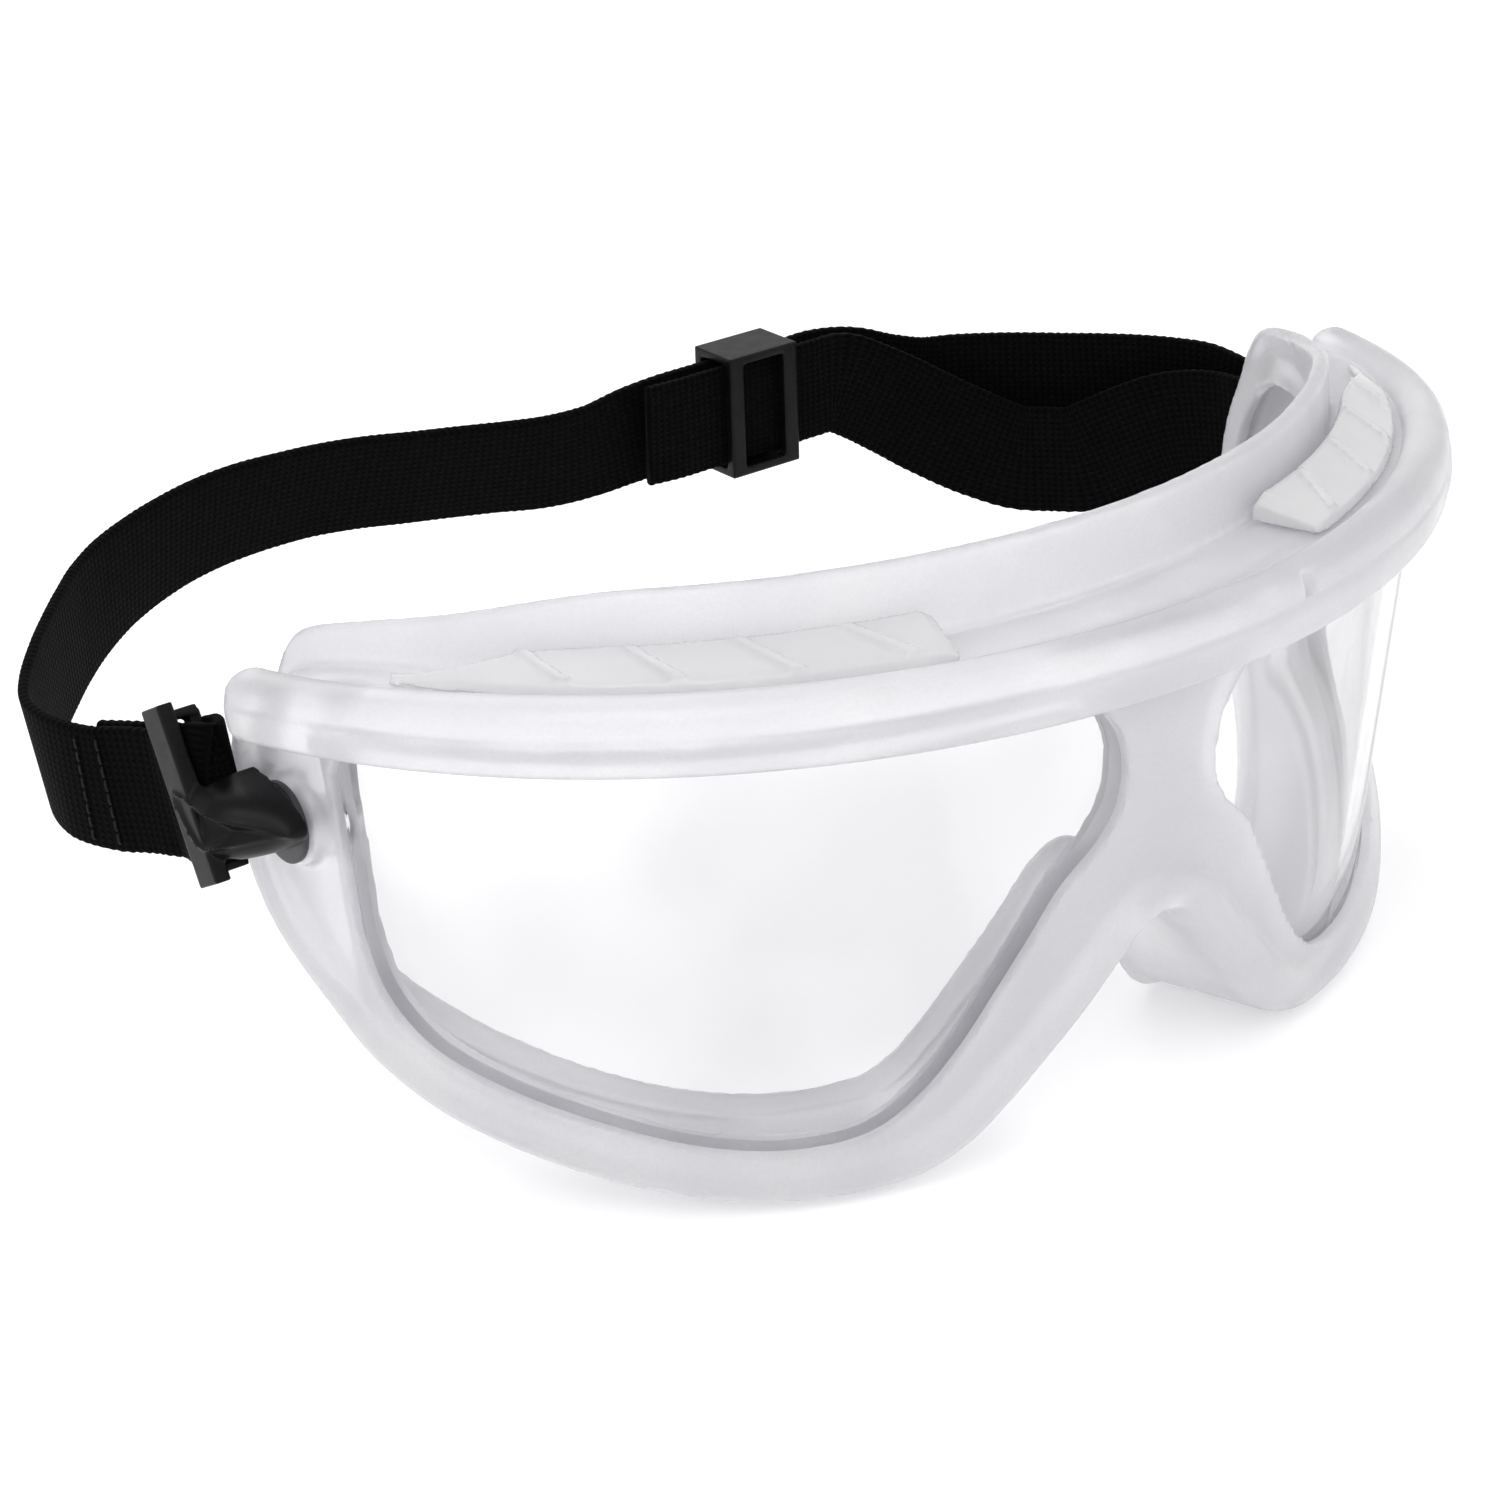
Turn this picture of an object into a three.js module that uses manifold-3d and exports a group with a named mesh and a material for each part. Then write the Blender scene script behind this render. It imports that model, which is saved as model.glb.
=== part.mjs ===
import * as THREE from "three";
import { mergeVertices } from "three/addons/utils/BufferGeometryUtils.js";
import Module from "manifold-3d";

// Wide-vision safety goggles: a soft one-piece frame with a brow rail, a wrap lens held in a groove,
// two ribbed vent covers, two pivoting strap clips and an elastic headband with a slide adjuster.
// Millimetres, +Z up, the wearer looks along -Y, +X is the wearer's left.

// Plan of the goggles: an ellipse seen from above. s runs round it from the nose, depth goes inward.
const PLAN_HALF_WIDTH = 84.4;
const PLAN_WRAP = 78.1;
const PLAN_RADIUS = 81;

// Frame face: set back from the brow rail and leaning away towards the cheeks.
const FACE_DEPTH = 5;
const FACE_LEAN = 0.11;
const SIDE_BULGE = 2.2;
const FACE_SKIN = 0.6;
const CLEARANCE = 0.3;

// Brow rail.
const RAIL_BOTTOM = 56.5;
const RAIL_DROP = 3;
const RAIL_SPAN = 115;
const RAIL_HEIGHT = 7.5;
const RAIL_SKIRT = 0.9;
const RAIL_TIP_TAPER = 0.1;
const RAIL_THICKNESS = 5.6;
const RAIL_END = 112;
const RAIL_CAP = 3;

// Top deck and the rear flange that meets the face.
const DECK_LEVEL = 62;
const REAR_DEPTH = 18.3;
const REAR_TAPER = 6;
const REAR_LEAN = 0.19;
const FLANGE_HEIGHT = 8.5;
const FLANGE_TAPER = 0.6;
const FLANGE_LIP = 1;
const SEAL_WIDTH = 3.6;
const WALL = 2;

// Rim bead round the lens and the groove behind it.
const BEAD_WIDTH = 6.3;
const BEAD_CROWN = 2.5;
const TEMPLE_CROWN = 0.9;
const LIP_DEPTH = 5.2;
const SHEET_DEPTH = 4.7;
const TEMPLE_LIP_DEPTH = 3;
const TEMPLE_SHEET_DEPTH = 2.5;
const LENS_SETBACK = 1;
const LENS_THICKNESS = 2;
const LENS_INSET = 3.2;
const LENS_TOP_INSET = 2;
const LENS_END = 101.2;

// Vents: slots through the deck, and the ribbed cover above them.
const SLOTS = [38, 52, 66];
const SLOT_HALF = 3.5;
const SLOT_FRONT = 9;
const SLOT_REAR = 12;
const COVER_GAP = 0.35;
const COVER_RIBS = [35, 48, 61, 74];
const RIB_SLANT = 3.2;
const RIB_HALF = 1.2;

// Outer outline of the frame, right half, [s, z] from the nose notch round the cheek to the temple.
const OUTLINE = [
  [0, 25.6], [3, 24.4], [6, 21.3], [10, 16.8], [15, 11.8], [20, 6.9], [25, 2.9], [31, 0.3],
  [38, -0.4], [46, -0.3], [55, 0.6], [64, 2.2], [73, 4.4], [82, 7.1], [90, 10], [98, 13.4],
  [105, 17], [111.5, 21.6], [116.5, 27.4], [119, 34], [119.4, 41], [118.2, 48], [114.8, 54],
  [109, 58],
];
const OUTLINE_TOP = [100, 85, 68, 50, 33, 16, 0];

// Eye window, lower and upper edges, [s, z].
const WINDOW_LOW = [
  [6.7, 44.2], [7.2, 41], [9.5, 37.2], [14, 33], [18.4, 26.6], [22, 21.4], [26, 15.8],
  [31, 10.6], [37, 7], [46, 6.1], [58, 7.6], [70, 10.6], [82, 14.2], [92, 18.4], [97.4, 23.4],
  [99.6, 30],
];
const WINDOW_HIGH = [[6.7, 44.8], [7.2, 48], [9, 51.6], [12, 54.6], [16, 56.2]];

// Strap pivots: one straight axis through both temples.
const PIVOT_Y = 60.8;
const PIVOT_Z = 42.5;
const BOSS_FACE = 76.6;
const BOSS_BACK = 72.6;
const BOSS_RADIUS = 5.2;
const DISH_RADIUS = 5.9;
const DISH_MOUTH = 11;
const WELL_RADIUS = 4.2;
const PEG_RADIUS = 1.6;
const WASHER_RADIUS = 4.6;
const WASHER_THICKNESS = 0.8;
const CAP_RADIUS = 3;
const CAP_THICKNESS = 1.6;
const BAR_LEAN = 28;
const BAR_RISE = 3.2;
const BAR_REACH = 6.6;
const BAR_LENGTH = 19.8;
const BAR_DEPTH = 4.4;
const INNER_BAR_DEPTH = 1.8;
const BRIDGE = 1.1;
const BRIDGE_AT = 8.45;

// Headband.
const STRAP_WIDTH = 15;
const STRAP_THICKNESS = 1.3;
const STRAP_PINCH = 0.09;
const STRAP_LINE = 81.4;
const LAYER_OFFSET = 1.7;
const INNER_BAR = 1.5;
const LOOP_TURN = 6;
const TAIL_LENGTH = 17;

// Slide adjuster.
const ADJUSTER_LENGTH = 11;
const ADJUSTER_RUNG = 1.4;
const ADJUSTER_RAIL = 1.1;

const wasm = await Module();
wasm.setup();

const { smoothstep, lerp, degToRad } = THREE.MathUtils;

function signedVolume(geometry) {
  const p = geometry.attributes.position;
  const a = new THREE.Vector3();
  const b = new THREE.Vector3();
  const c = new THREE.Vector3();
  let total = 0;
  for (let i = 0; i < geometry.index.count; i += 3) {
    a.fromBufferAttribute(p, geometry.index.getX(i));
    b.fromBufferAttribute(p, geometry.index.getX(i + 1));
    c.fromBufferAttribute(p, geometry.index.getX(i + 2));
    total += a.dot(b.cross(c));
  }
  return total;
}

// Turns every face outward.
function facingOut(geometry) {
  if (signedVolume(geometry) < 0) {
    const index = geometry.index.array;
    for (let i = 0; i < index.length; i += 3) {
      [index[i + 1], index[i + 2]] = [index[i + 2], index[i + 1]];
    }
  }
  return geometry;
}

// Closes one end of a skin with a fan about the middle of its row.
function endFan(points, index, row, n, flip) {
  const centre = new THREE.Vector3();
  for (let j = 0; j < n; j++) centre.addScaledVector(points[row * n + j], 1 / n);
  points.push(centre);
  for (let j = 0; j < n; j++) {
    const a = row * n + j;
    const b = row * n + ((j + 1) % n);
    index.push(points.length - 1, flip ? b : a, flip ? a : b);
  }
}

// A closed skin over rows of points; an open run gets a fan at each end.
function skin(sections, closed = false) {
  const n = sections[0].length;
  const rows = sections.length;
  const points = sections.flat();
  const index = [];
  for (let i = 0; i < (closed ? rows : rows - 1); i++) {
    for (let j = 0; j < n; j++) {
      const a = i * n + j;
      const b = i * n + ((j + 1) % n);
      const c = ((i + 1) % rows) * n + ((j + 1) % n);
      const d = ((i + 1) % rows) * n + j;
      index.push(a, b, c, a, c, d);
    }
  }
  if (!closed) {
    endFan(points, index, 0, n, true);
    endFan(points, index, rows - 1, n, false);
  }
  const geometry = new THREE.BufferGeometry();
  const flat = points.flatMap((p) => [p.x, p.y, p.z]);
  geometry.setAttribute("position", new THREE.Float32BufferAttribute(flat, 3));
  geometry.setIndex(index);
  return facingOut(geometry);
}

function solid(geometry) {
  const plain = geometry.clone();
  plain.deleteAttribute("normal");
  plain.deleteAttribute("uv");
  const merged = mergeVertices(plain, 1e-4);
  const vertProperties = new Float32Array(merged.attributes.position.array);
  const triVerts = new Uint32Array(merged.index.array);
  return new wasm.Manifold(new wasm.Mesh({ numProp: 3, vertProperties, triVerts }));
}

function geometryOf(manifold) {
  const mesh = manifold.getMesh();
  const geometry = new THREE.BufferGeometry();
  geometry.setAttribute("position", new THREE.Float32BufferAttribute(mesh.vertProperties, 3));
  geometry.setIndex([...mesh.triVerts]);
  return geometry;
}

const union = (parts) => parts.map((part) => solid(part)).reduce((a, b) => a.add(b));

function mirrored(geometry) {
  const copy = geometry.clone().scale(-1, 1, 1);
  return facingOut(copy);
}

// A cylinder along X between two X values.
function rod(radius, x0, x1, y, z, segments = 32, radius1 = radius) {
  const geometry = new THREE.CylinderGeometry(radius1, radius, x1 - x0, segments);
  return geometry.rotateZ(-Math.PI / 2).translate((x0 + x1) / 2, y, z);
}

function wrap(s, z, depth) {
  const angle = s / PLAN_RADIUS;
  const along = new THREE.Vector2(PLAN_HALF_WIDTH * Math.cos(angle), PLAN_WRAP * Math.sin(angle)).normalize();
  const x = PLAN_HALF_WIDTH * Math.sin(angle) - along.y * depth;
  const y = PLAN_WRAP * (1 - Math.cos(angle)) + along.x * depth;
  return new THREE.Vector3(x, y, z);
}

const drop = (s) => RAIL_DROP * (s / RAIL_SPAN) ** 2;
const facePoint = (s, z, offset) => wrap(s, z, faceDepth(s, z) + offset);
const deckLevel = (s) => DECK_LEVEL - drop(s);

// The face stands further forward along each cheek than at the nose and at the temples.
function faceDepth(s, z) {
  const side = Math.abs(s);
  const bulge = SIDE_BULGE * smoothstep(side, 20, 60) * (1 - smoothstep(side, 86, 108));
  return FACE_DEPTH - bulge + FACE_LEAN * (RAIL_BOTTOM - z);
}

function rearDepth(s, z) {
  const lean = REAR_LEAN * (DECK_LEVEL - Math.min(z, DECK_LEVEL)) * (1 - 0.5 * (s / RAIL_SPAN) ** 2);
  return REAR_DEPTH - REAR_TAPER * (s / RAIL_SPAN) ** 2 + lean;
}

// Closed outline of the frame as flat points with inward normals.
function outlineStations(perSegment) {
  const half = [...OUTLINE, ...OUTLINE_TOP.map((s) => [s, deckLevel(s)])];
  const other = half.slice(1, -1).reverse().map(([s, z]) => [-s, z]);
  const points = [...half, ...other].map(([s, z]) => new THREE.Vector3(s, z, 0));
  const curve = new THREE.CatmullRomCurve3(points, true, "centripetal");
  const flat = curve.getPoints(points.length * perSegment).slice(0, -1);
  return flat.map((p, i) => {
    const before = flat[(i + flat.length - 1) % flat.length];
    const after = flat[(i + 1) % flat.length];
    const normal = new THREE.Vector2(before.y - after.y, after.x - before.x).normalize();
    return { s: p.x, z: p.y, ns: normal.x, nz: normal.y };
  });
}

const FINE_OUTLINE = outlineStations(6);

// Lowest and highest crossing of the vertical at s with the outline moved inward by inset.
function outlineRange(s, inset) {
  const loop = FINE_OUTLINE.map((q) => [q.s + q.ns * inset, q.z + q.nz * inset]);
  const hits = [];
  loop.forEach(([s0, z0], i) => {
    const [s1, z1] = loop[(i + 1) % loop.length];
    if ((s0 - s) * (s1 - s) <= 0 && s0 !== s1) hits.push(lerp(z0, z1, (s - s0) / (s1 - s0)));
  });
  return [Math.min(...hits), Math.max(...hits)];
}

// A sheet that follows the frame face, built column by column between range(s).
function faceSheet(columns, range, front, back) {
  return skin(columns.map((s) => {
    const [low, high] = range(s);
    const corners = [[low, front], [high, front], [high, back], [low, back]];
    return corners.map(([z, offset]) => facePoint(s, z, offset(s)));
  }));
}

const spread = (from, to, count) => [...Array(count + 1).keys()].map((k) => lerp(from, to, k / count));

function ringSection(q) {
  const side = Math.abs(q.s);
  const upper = q.z > 50 && side < 118 ? 1 : 0;
  const temple = smoothstep(side, 98, 112);
  const crown = lerp(BEAD_CROWN, TEMPLE_CROWN, temple);
  const lip = lerp(LIP_DEPTH, TEMPLE_LIP_DEPTH, smoothstep(side, 102.6, 106));
  const taper = (1 - FLANGE_TAPER * smoothstep(side, 62, 108)) * (1 - smoothstep(side, 109, 117));
  const flange = FLANGE_LIP + upper * (FLANGE_HEIGHT - FLANGE_LIP) * taper;
  const deep = rearDepth(side, q.z) - faceDepth(side, q.z);
  const profile = [
    [0, 1.5], [0.8, -crown * 0.75], [3.1, -crown], [5.4, -crown * 0.75], [BEAD_WIDTH, 0.6],
    [5.8, lip], [WALL, lip + 0.6], [WALL, deep - 2.6], [SEAL_WIDTH, deep - 1.3],
    [SEAL_WIDTH - 0.3, deep], [0.4 - flange, deep], [-flange, deep - 1], [0.4 - flange, deep - 1.9],
    [0, deep - 2.3],
  ];
  return profile.map(([w, d]) => facePoint(q.s + q.ns * w, q.z + q.nz * w, d + FACE_LEAN * q.nz * w));
}

function browRail() {
  const profile = [
    [RAIL_THICKNESS, 0.6 - RAIL_SKIRT], [4.6, -RAIL_SKIRT], [1.8, -RAIL_SKIRT], [0.5, 0.6 - RAIL_SKIRT],
    [0, 1.4], [0, 4.5], [0.5, 6.2], [1.7, 7.2], [3.2, RAIL_HEIGHT], [4.6, 7.1], [RAIL_THICKNESS, 6],
  ];
  const centre = [RAIL_THICKNESS / 2, RAIL_HEIGHT / 2];
  const caps = [0, 0.15, 0.4, 0.7, 1].map((t) => RAIL_END - RAIL_CAP * t);
  const half = [...caps, ...spread(RAIL_END - RAIL_CAP, 0, 26).slice(1)];
  const stations = [...half.map((s) => -s), ...half.slice(0, -1).reverse()];
  const sections = stations.map((s) => {
    const into = Math.min(1, (RAIL_END - Math.abs(s)) / RAIL_CAP);
    const scale = Math.max(0.28, Math.sqrt(1 - (1 - into) ** 2));
    const tip = 1 - RAIL_TIP_TAPER * smoothstep(Math.abs(s), 70, 108);
    return profile.map(([d, z]) => {
      const level = tip * lerp(centre[1], z, scale);
      return wrap(s, RAIL_BOTTOM - drop(s) + level, lerp(centre[0], d, scale));
    });
  });
  return skin(sections);
}

function sampled(table, s) {
  const next = table.findIndex(([at]) => at >= s);
  if (next <= 0) return next === 0 ? table[0][1] : table.at(-1)[1];
  const [s0, z0] = table[next - 1];
  const [s1, z1] = table[next];
  return lerp(z0, z1, (s - s0) / (s1 - s0));
}

function eyeWindow() {
  const between = [8.2, 11.5, 12.8, 16, 42, 52, 64, 76, 87, 95.4];
  const columns = [...WINDOW_LOW.map(([s]) => s), ...between].sort((a, b) => a - b);
  const range = (s) => {
    const rounded = 4 * smoothstep(s, 95.6, 99.6) ** 2;
    const high = s < 16 ? sampled(WINDOW_HIGH, s) : RAIL_BOTTOM - drop(s) + 0.2 - rounded;
    return [sampled(WINDOW_LOW, s), high];
  };
  return faceSheet(columns, range, () => -6, () => 9);
}

function lensSheet(margin) {
  const end = LENS_END + margin;
  const half = [3, 6, 10, 15, 20, 25, 31, 38, 46, 55, 64, 73, 82, 90, 97];
  const columns = [-end, ...half.map((s) => -s).reverse(), 0, ...half, end];
  const range = (s) => {
    const [low, high] = outlineRange(s, LENS_INSET);
    return [low - margin, high - LENS_TOP_INSET + margin];
  };
  return faceSheet(columns, range, () => LENS_SETBACK - margin, () => LENS_SETBACK + LENS_THICKNESS + margin);
}

function ventSlot(s) {
  const corners = [[-4, SLOT_FRONT], [2, SLOT_FRONT], [2, SLOT_REAR], [-4, SLOT_REAR]];
  return skin([s - SLOT_HALF, s + SLOT_HALF].map((at) =>
    corners.map(([level, depth]) => wrap(at, DECK_LEVEL + level, depth))));
}

function frameBody() {
  const ring = skin(outlineStations(2).map(ringSection), true);
  const columns = [...spread(-117, -96, 6), ...spread(-87, 87, 18), ...spread(96, 117, 6)];
  const back = (s) => lerp(SHEET_DEPTH, TEMPLE_SHEET_DEPTH, smoothstep(Math.abs(s), 102.6, 106));
  const sheet = faceSheet(columns, (s) => outlineRange(s, 2.4), () => -FACE_SKIN, back);
  const boss = rod(BOSS_RADIUS, BOSS_BACK, BOSS_FACE, PIVOT_Y, PIVOT_Z);
  const bore = rod(PEG_RADIUS + CLEARANCE, BOSS_BACK - 8, BOSS_FACE + 8, PIVOT_Y, PIVOT_Z);
  const dish = rod(DISH_RADIUS, BOSS_FACE, BOSS_FACE + 6, PIVOT_Y, PIVOT_Z, 32, DISH_MOUTH);
  const well = rod(WELL_RADIUS, BOSS_BACK - 8, BOSS_BACK, PIVOT_Y, PIVOT_Z);
  const window = eyeWindow();
  let body = union([ring, sheet, boss, mirrored(boss)]);
  const cuts = [window, bore, dish, well].flatMap((cut) => [cut, mirrored(cut)]);
  for (const cut of cuts) body = body.subtract(solid(cut));
  body = body.add(solid(browRail()));
  body = body.subtract(solid(lensSheet(CLEARANCE)));
  for (const s of SLOTS) {
    body = body.subtract(solid(ventSlot(s)));
    body = body.subtract(solid(ventSlot(-s)));
  }
  const floor = new THREE.BoxGeometry(300, 300, 10).translate(0, 60, -5);
  return geometryOf(body.subtract(solid(floor)));
}

// Depth of the rear edge of a vent cover; the cover narrows towards the temple.
function coverRear(s) {
  const beforeFlange = REAR_DEPTH - 3.1 - REAR_TAPER * (s / RAIL_SPAN) ** 2;
  return lerp(beforeFlange, 8.2, smoothstep(s, 70, 92.5));
}

function coverRib(s) {
  const ends = [[s - RIB_SLANT, 7.2, 2.1], [s + RIB_SLANT, coverRear(s) - 1.2, 3.5]];
  return skin(ends.map(([at, depth, high]) => {
    const base = deckLevel(at) + COVER_GAP;
    const cross = [[-RIB_HALF, 0.5], [-RIB_HALF + 0.4, high], [RIB_HALF - 0.4, high], [RIB_HALF, 0.5]];
    return cross.map(([across, z]) => wrap(at + across, base + z, depth));
  }));
}

function ventCover() {
  const columns = [27, 29, 36, 46, 56, 66, 76, 84, 89, 92.5];
  const sections = columns.map((s) => {
    const end = smoothstep(s, 76, 92.5);
    const front = lerp(6.5, 6.9, end);
    const rear = coverRear(s);
    const rise = lerp(1, 0.35, end) * lerp(0.72, 1, smoothstep(s, 27, 29));
    const base = deckLevel(s) + COVER_GAP;
    const cross = [
      [front, 0], [front + 0.4, 1.3 * rise], [rear - 0.5, 3.1 * rise], [rear, 2.3 * rise], [rear, 0],
    ];
    return cross.map(([d, z]) => wrap(s, base + z, d));
  });
  return geometryOf(union([skin(sections), ...COVER_RIBS.map((s) => coverRib(s))]));
}

// Strap clip: a pointed hood over the pivot and, behind it, a leaning loop that holds the webbing.
const HOOD_OUTLINE = [
  [7.6, 5.6], [3, 5.3], [-1.2, 4.7], [-4.2, 3.6], [-6, 2.3], [-6.4, 1.4], [-5.6, 0.2], [-2.8, -1.7],
  [0.4, -3.1], [3, -4.1],
];
const HOOD_CREST = 1.6;
const HOOD_SEAT = BOSS_FACE + WASHER_THICKNESS + 2 * CLEARANCE;
const BAR_IN = STRAP_LINE + LAYER_OFFSET + STRAP_THICKNESS / 2 + CLEARANCE;
const BAR_OUT = BAR_IN + 1.9;

// Leans a part of the loop about the middle of the inner bar and sets it behind the pivot.
const atLoop = (part) => part.rotateX(-degToRad(BAR_LEAN)).translate(0, BAR_REACH, BAR_RISE);

function clipHood() {
  const levels = [[0, 1, 1], [0.45, 0.98, 1], [0.8, 0.78, 0.96], [1, 0.3, 0.62]];
  const layers = levels.map(([t, tipSize, barSize]) => HOOD_OUTLINE.map(([a, b]) => {
    const along = smoothstep(a, -7, 1.5);
    const outer = lerp(HOOD_SEAT + 2.4, BAR_OUT + 0.5, along);
    const size = lerp(tipSize, barSize, along);
    return new THREE.Vector3(lerp(HOOD_SEAT, outer, t), a, lerp(HOOD_CREST, b, size));
  }));
  const front = LOOP_TURN - LAYER_OFFSET - STRAP_THICKNESS / 2 - CLEARANCE - BAR_REACH;
  const loopSpace = atLoop(new THREE.BoxGeometry(20, 20, 30).translate(BAR_IN - 10, front + 10, 0));
  return geometryOf(solid(skin(layers)).subtract(solid(loopSpace)));
}

function clipLoop() {
  const bar = new THREE.BoxGeometry(BAR_OUT - BAR_IN, BAR_DEPTH, BAR_LENGTH);
  const innerBar = new THREE.BoxGeometry(INNER_BAR, INNER_BAR_DEPTH, 2 * BRIDGE_AT);
  const bridges = [-1, 1].map((end) => {
    const bridge = new THREE.BoxGeometry(BAR_OUT - STRAP_LINE, INNER_BAR_DEPTH + 0.2, BRIDGE);
    return bridge.translate((BAR_OUT + STRAP_LINE) / 2 - 0.4, 0, end * BRIDGE_AT);
  });
  bar.translate((BAR_IN + BAR_OUT) / 2, 0, 0);
  innerBar.translate(STRAP_LINE, 0, 0);
  return [bar, innerBar, ...bridges].map((part) => atLoop(part));
}

function strapClip() {
  const peg = rod(PEG_RADIUS, BOSS_BACK - CAP_THICKNESS - 1.2, HOOD_SEAT + 1, 0, 0, 24);
  const clip = union([clipHood(), ...clipLoop(), peg]);
  return geometryOf(clip).translate(0, PIVOT_Y, PIVOT_Z);
}

function ring(radius, bore, x0, x1) {
  const rim = radius - 0.3;
  const points = [[bore, x0], [rim, x0], [radius, x0 + 0.3], [radius, x1 - 0.3], [rim, x1], [bore, x1]];
  const profile = [...points, points[0]].map(([r, x]) => new THREE.Vector2(r, x));
  const geometry = new THREE.LatheGeometry(profile, 28).rotateZ(-Math.PI / 2);
  geometry.deleteAttribute("normal");
  geometry.deleteAttribute("uv");
  return facingOut(mergeVertices(geometry.translate(0, PIVOT_Y, PIVOT_Z), 1e-4));
}

function pivotWasher() {
  const seat = BOSS_FACE + CLEARANCE;
  return ring(WASHER_RADIUS, PEG_RADIUS + CLEARANCE, seat, seat + WASHER_THICKNESS);
}

function pegCap() {
  const seat = BOSS_BACK - CLEARANCE;
  return ring(CAP_RADIUS, PEG_RADIUS + CLEARANCE, seat - CAP_THICKNESS, seat);
}

// Plan line of the headband, from abreast the right pivot round the back to abreast the left one.
// It runs straight along X either side of the buckle.
const BUCKLE_LINE = 121.4;
const BAND_LINE = [
  [-STRAP_LINE, PIVOT_Y], [-STRAP_LINE, 68], [-STRAP_LINE, 74], [-83.4, 80], [-86.4, 87], [-86.8, 94.5],
  [-82.4, 103], [-74, 113.5], [-63, 123.5], [-47.5, 130.5], [-29, 132.3], [-10, 128.3], [6, 123.4],
  [18, BUCKLE_LINE], [25, BUCKLE_LINE], [32, BUCKLE_LINE], [39, BUCKLE_LINE], [46, BUCKLE_LINE],
  [57, 118.6], [66.5, 112], [74.5, 101.5], [80.2, 88],
  [STRAP_LINE, 76], [STRAP_LINE, 68], [STRAP_LINE, PIVOT_Y],
];
const BUCKLE_STATION = 15;
const BAND_DIVISIONS = 960;
const planPoints = BAND_LINE.map(([x, y]) => new THREE.Vector3(x, y, 0));
const band = new THREE.CatmullRomCurve3(planPoints, false, "centripetal");
band.arcLengthDivisions = BAND_DIVISIONS;
const BAND_LENGTH = band.getLength();
const BUCKLE_AT = band.getLengths()[(BUCKLE_STATION * BAND_DIVISIONS) / (BAND_LINE.length - 1)];

// Level of the middle of the webbing beside a clip, at a distance back from the pivot.
const clipLevel = (back) => PIVOT_Z + BAR_RISE - Math.tan(degToRad(BAR_LEAN)) * (back - BAR_REACH);

// Levels of the middle of the webbing along the outer run and along the inner return run.
const CLIP_RUN = 13;
const BUCKLE_LEVEL = 46.2;
const OUTER_KNOTS = [
  [CLIP_RUN, clipLevel(CLIP_RUN)], [28, 40.7], [38, 41.1], [50, 42.4], [66, 43.8], [82, 45.3], [98, 46.3],
  [110, 46.1], [126, 44.9], [142, 44.2], [BUCKLE_AT - 13, BUCKLE_LEVEL], [BUCKLE_AT + 13, BUCKLE_LEVEL],
  [BUCKLE_AT + 28, 42], [BUCKLE_AT + 44, 42.4], [BUCKLE_AT + 58, 43.5], [BUCKLE_AT + 67, 44],
  [BAND_LENGTH - CLIP_RUN, clipLevel(CLIP_RUN)],
];
const RETURN_KNOTS = [
  [BUCKLE_AT + 13, BUCKLE_LEVEL], [BUCKLE_AT + 22, 41.9], [BUCKLE_AT + 32, 36.6], [BUCKLE_AT + 42, 33.4],
  [BUCKLE_AT + 49, 33.8], [BUCKLE_AT + 58, 38], [BUCKLE_AT + 66, 41],
  [BAND_LENGTH - CLIP_RUN, clipLevel(CLIP_RUN)],
];

// Degrees that the upper edge of the webbing leans outward, along its run.
const ROLL_KNOTS = [
  [18, 0], [28, 3], [38, 9], [52, 2], [68, 0], [82, -9], [96, -16], [110, -21], [134, -21], [146, -15],
  [BUCKLE_AT - 14, 0],
];

// Smooth curve through [p, value] knots that never passes beyond them.
function smoothed(knots, p) {
  const next = knots.findIndex(([at]) => at >= p);
  if (next <= 0) return next === 0 ? knots[0][1] : knots.at(-1)[1];
  const slope = (k) => {
    if (k < 1 || k >= knots.length) return 0;
    return (knots[k][1] - knots[k - 1][1]) / (knots[k][0] - knots[k - 1][0]);
  };
  const gentle = (a, b) => (a * b > 0 ? (2 * a * b) / (a + b) : 0);
  const [p0, v0] = knots[next - 1];
  const [p1, v1] = knots[next];
  const width = p1 - p0;
  const t = (p - p0) / width;
  const m0 = gentle(slope(next - 1), slope(next)) * width;
  const m1 = gentle(slope(next), slope(next + 1)) * width;
  const rise = v1 - v0;
  return v0 + m0 * t + (3 * rise - 2 * m0 - m1) * t ** 2 + (m0 + m1 - 2 * rise) * t ** 3;
}

function levelAt(knots, p) {
  const back = Math.min(p, BAND_LENGTH - p);
  return back < CLIP_RUN ? clipLevel(back) : smoothed(knots, p);
}

// Unit direction along the plan line at a distance p from its start.
const bandAlong = (p) => band.getTangentAt(THREE.MathUtils.clamp(p / BAND_LENGTH, 0, 1));

// Point at a distance p along the plan line and q outward from it.
function bandPoint(p, q, z) {
  const point = band.getPointAt(THREE.MathUtils.clamp(p / BAND_LENGTH, 0, 1));
  const along = bandAlong(p);
  return new THREE.Vector3(point.x - along.y * q, point.y + along.x * q, z);
}

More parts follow.
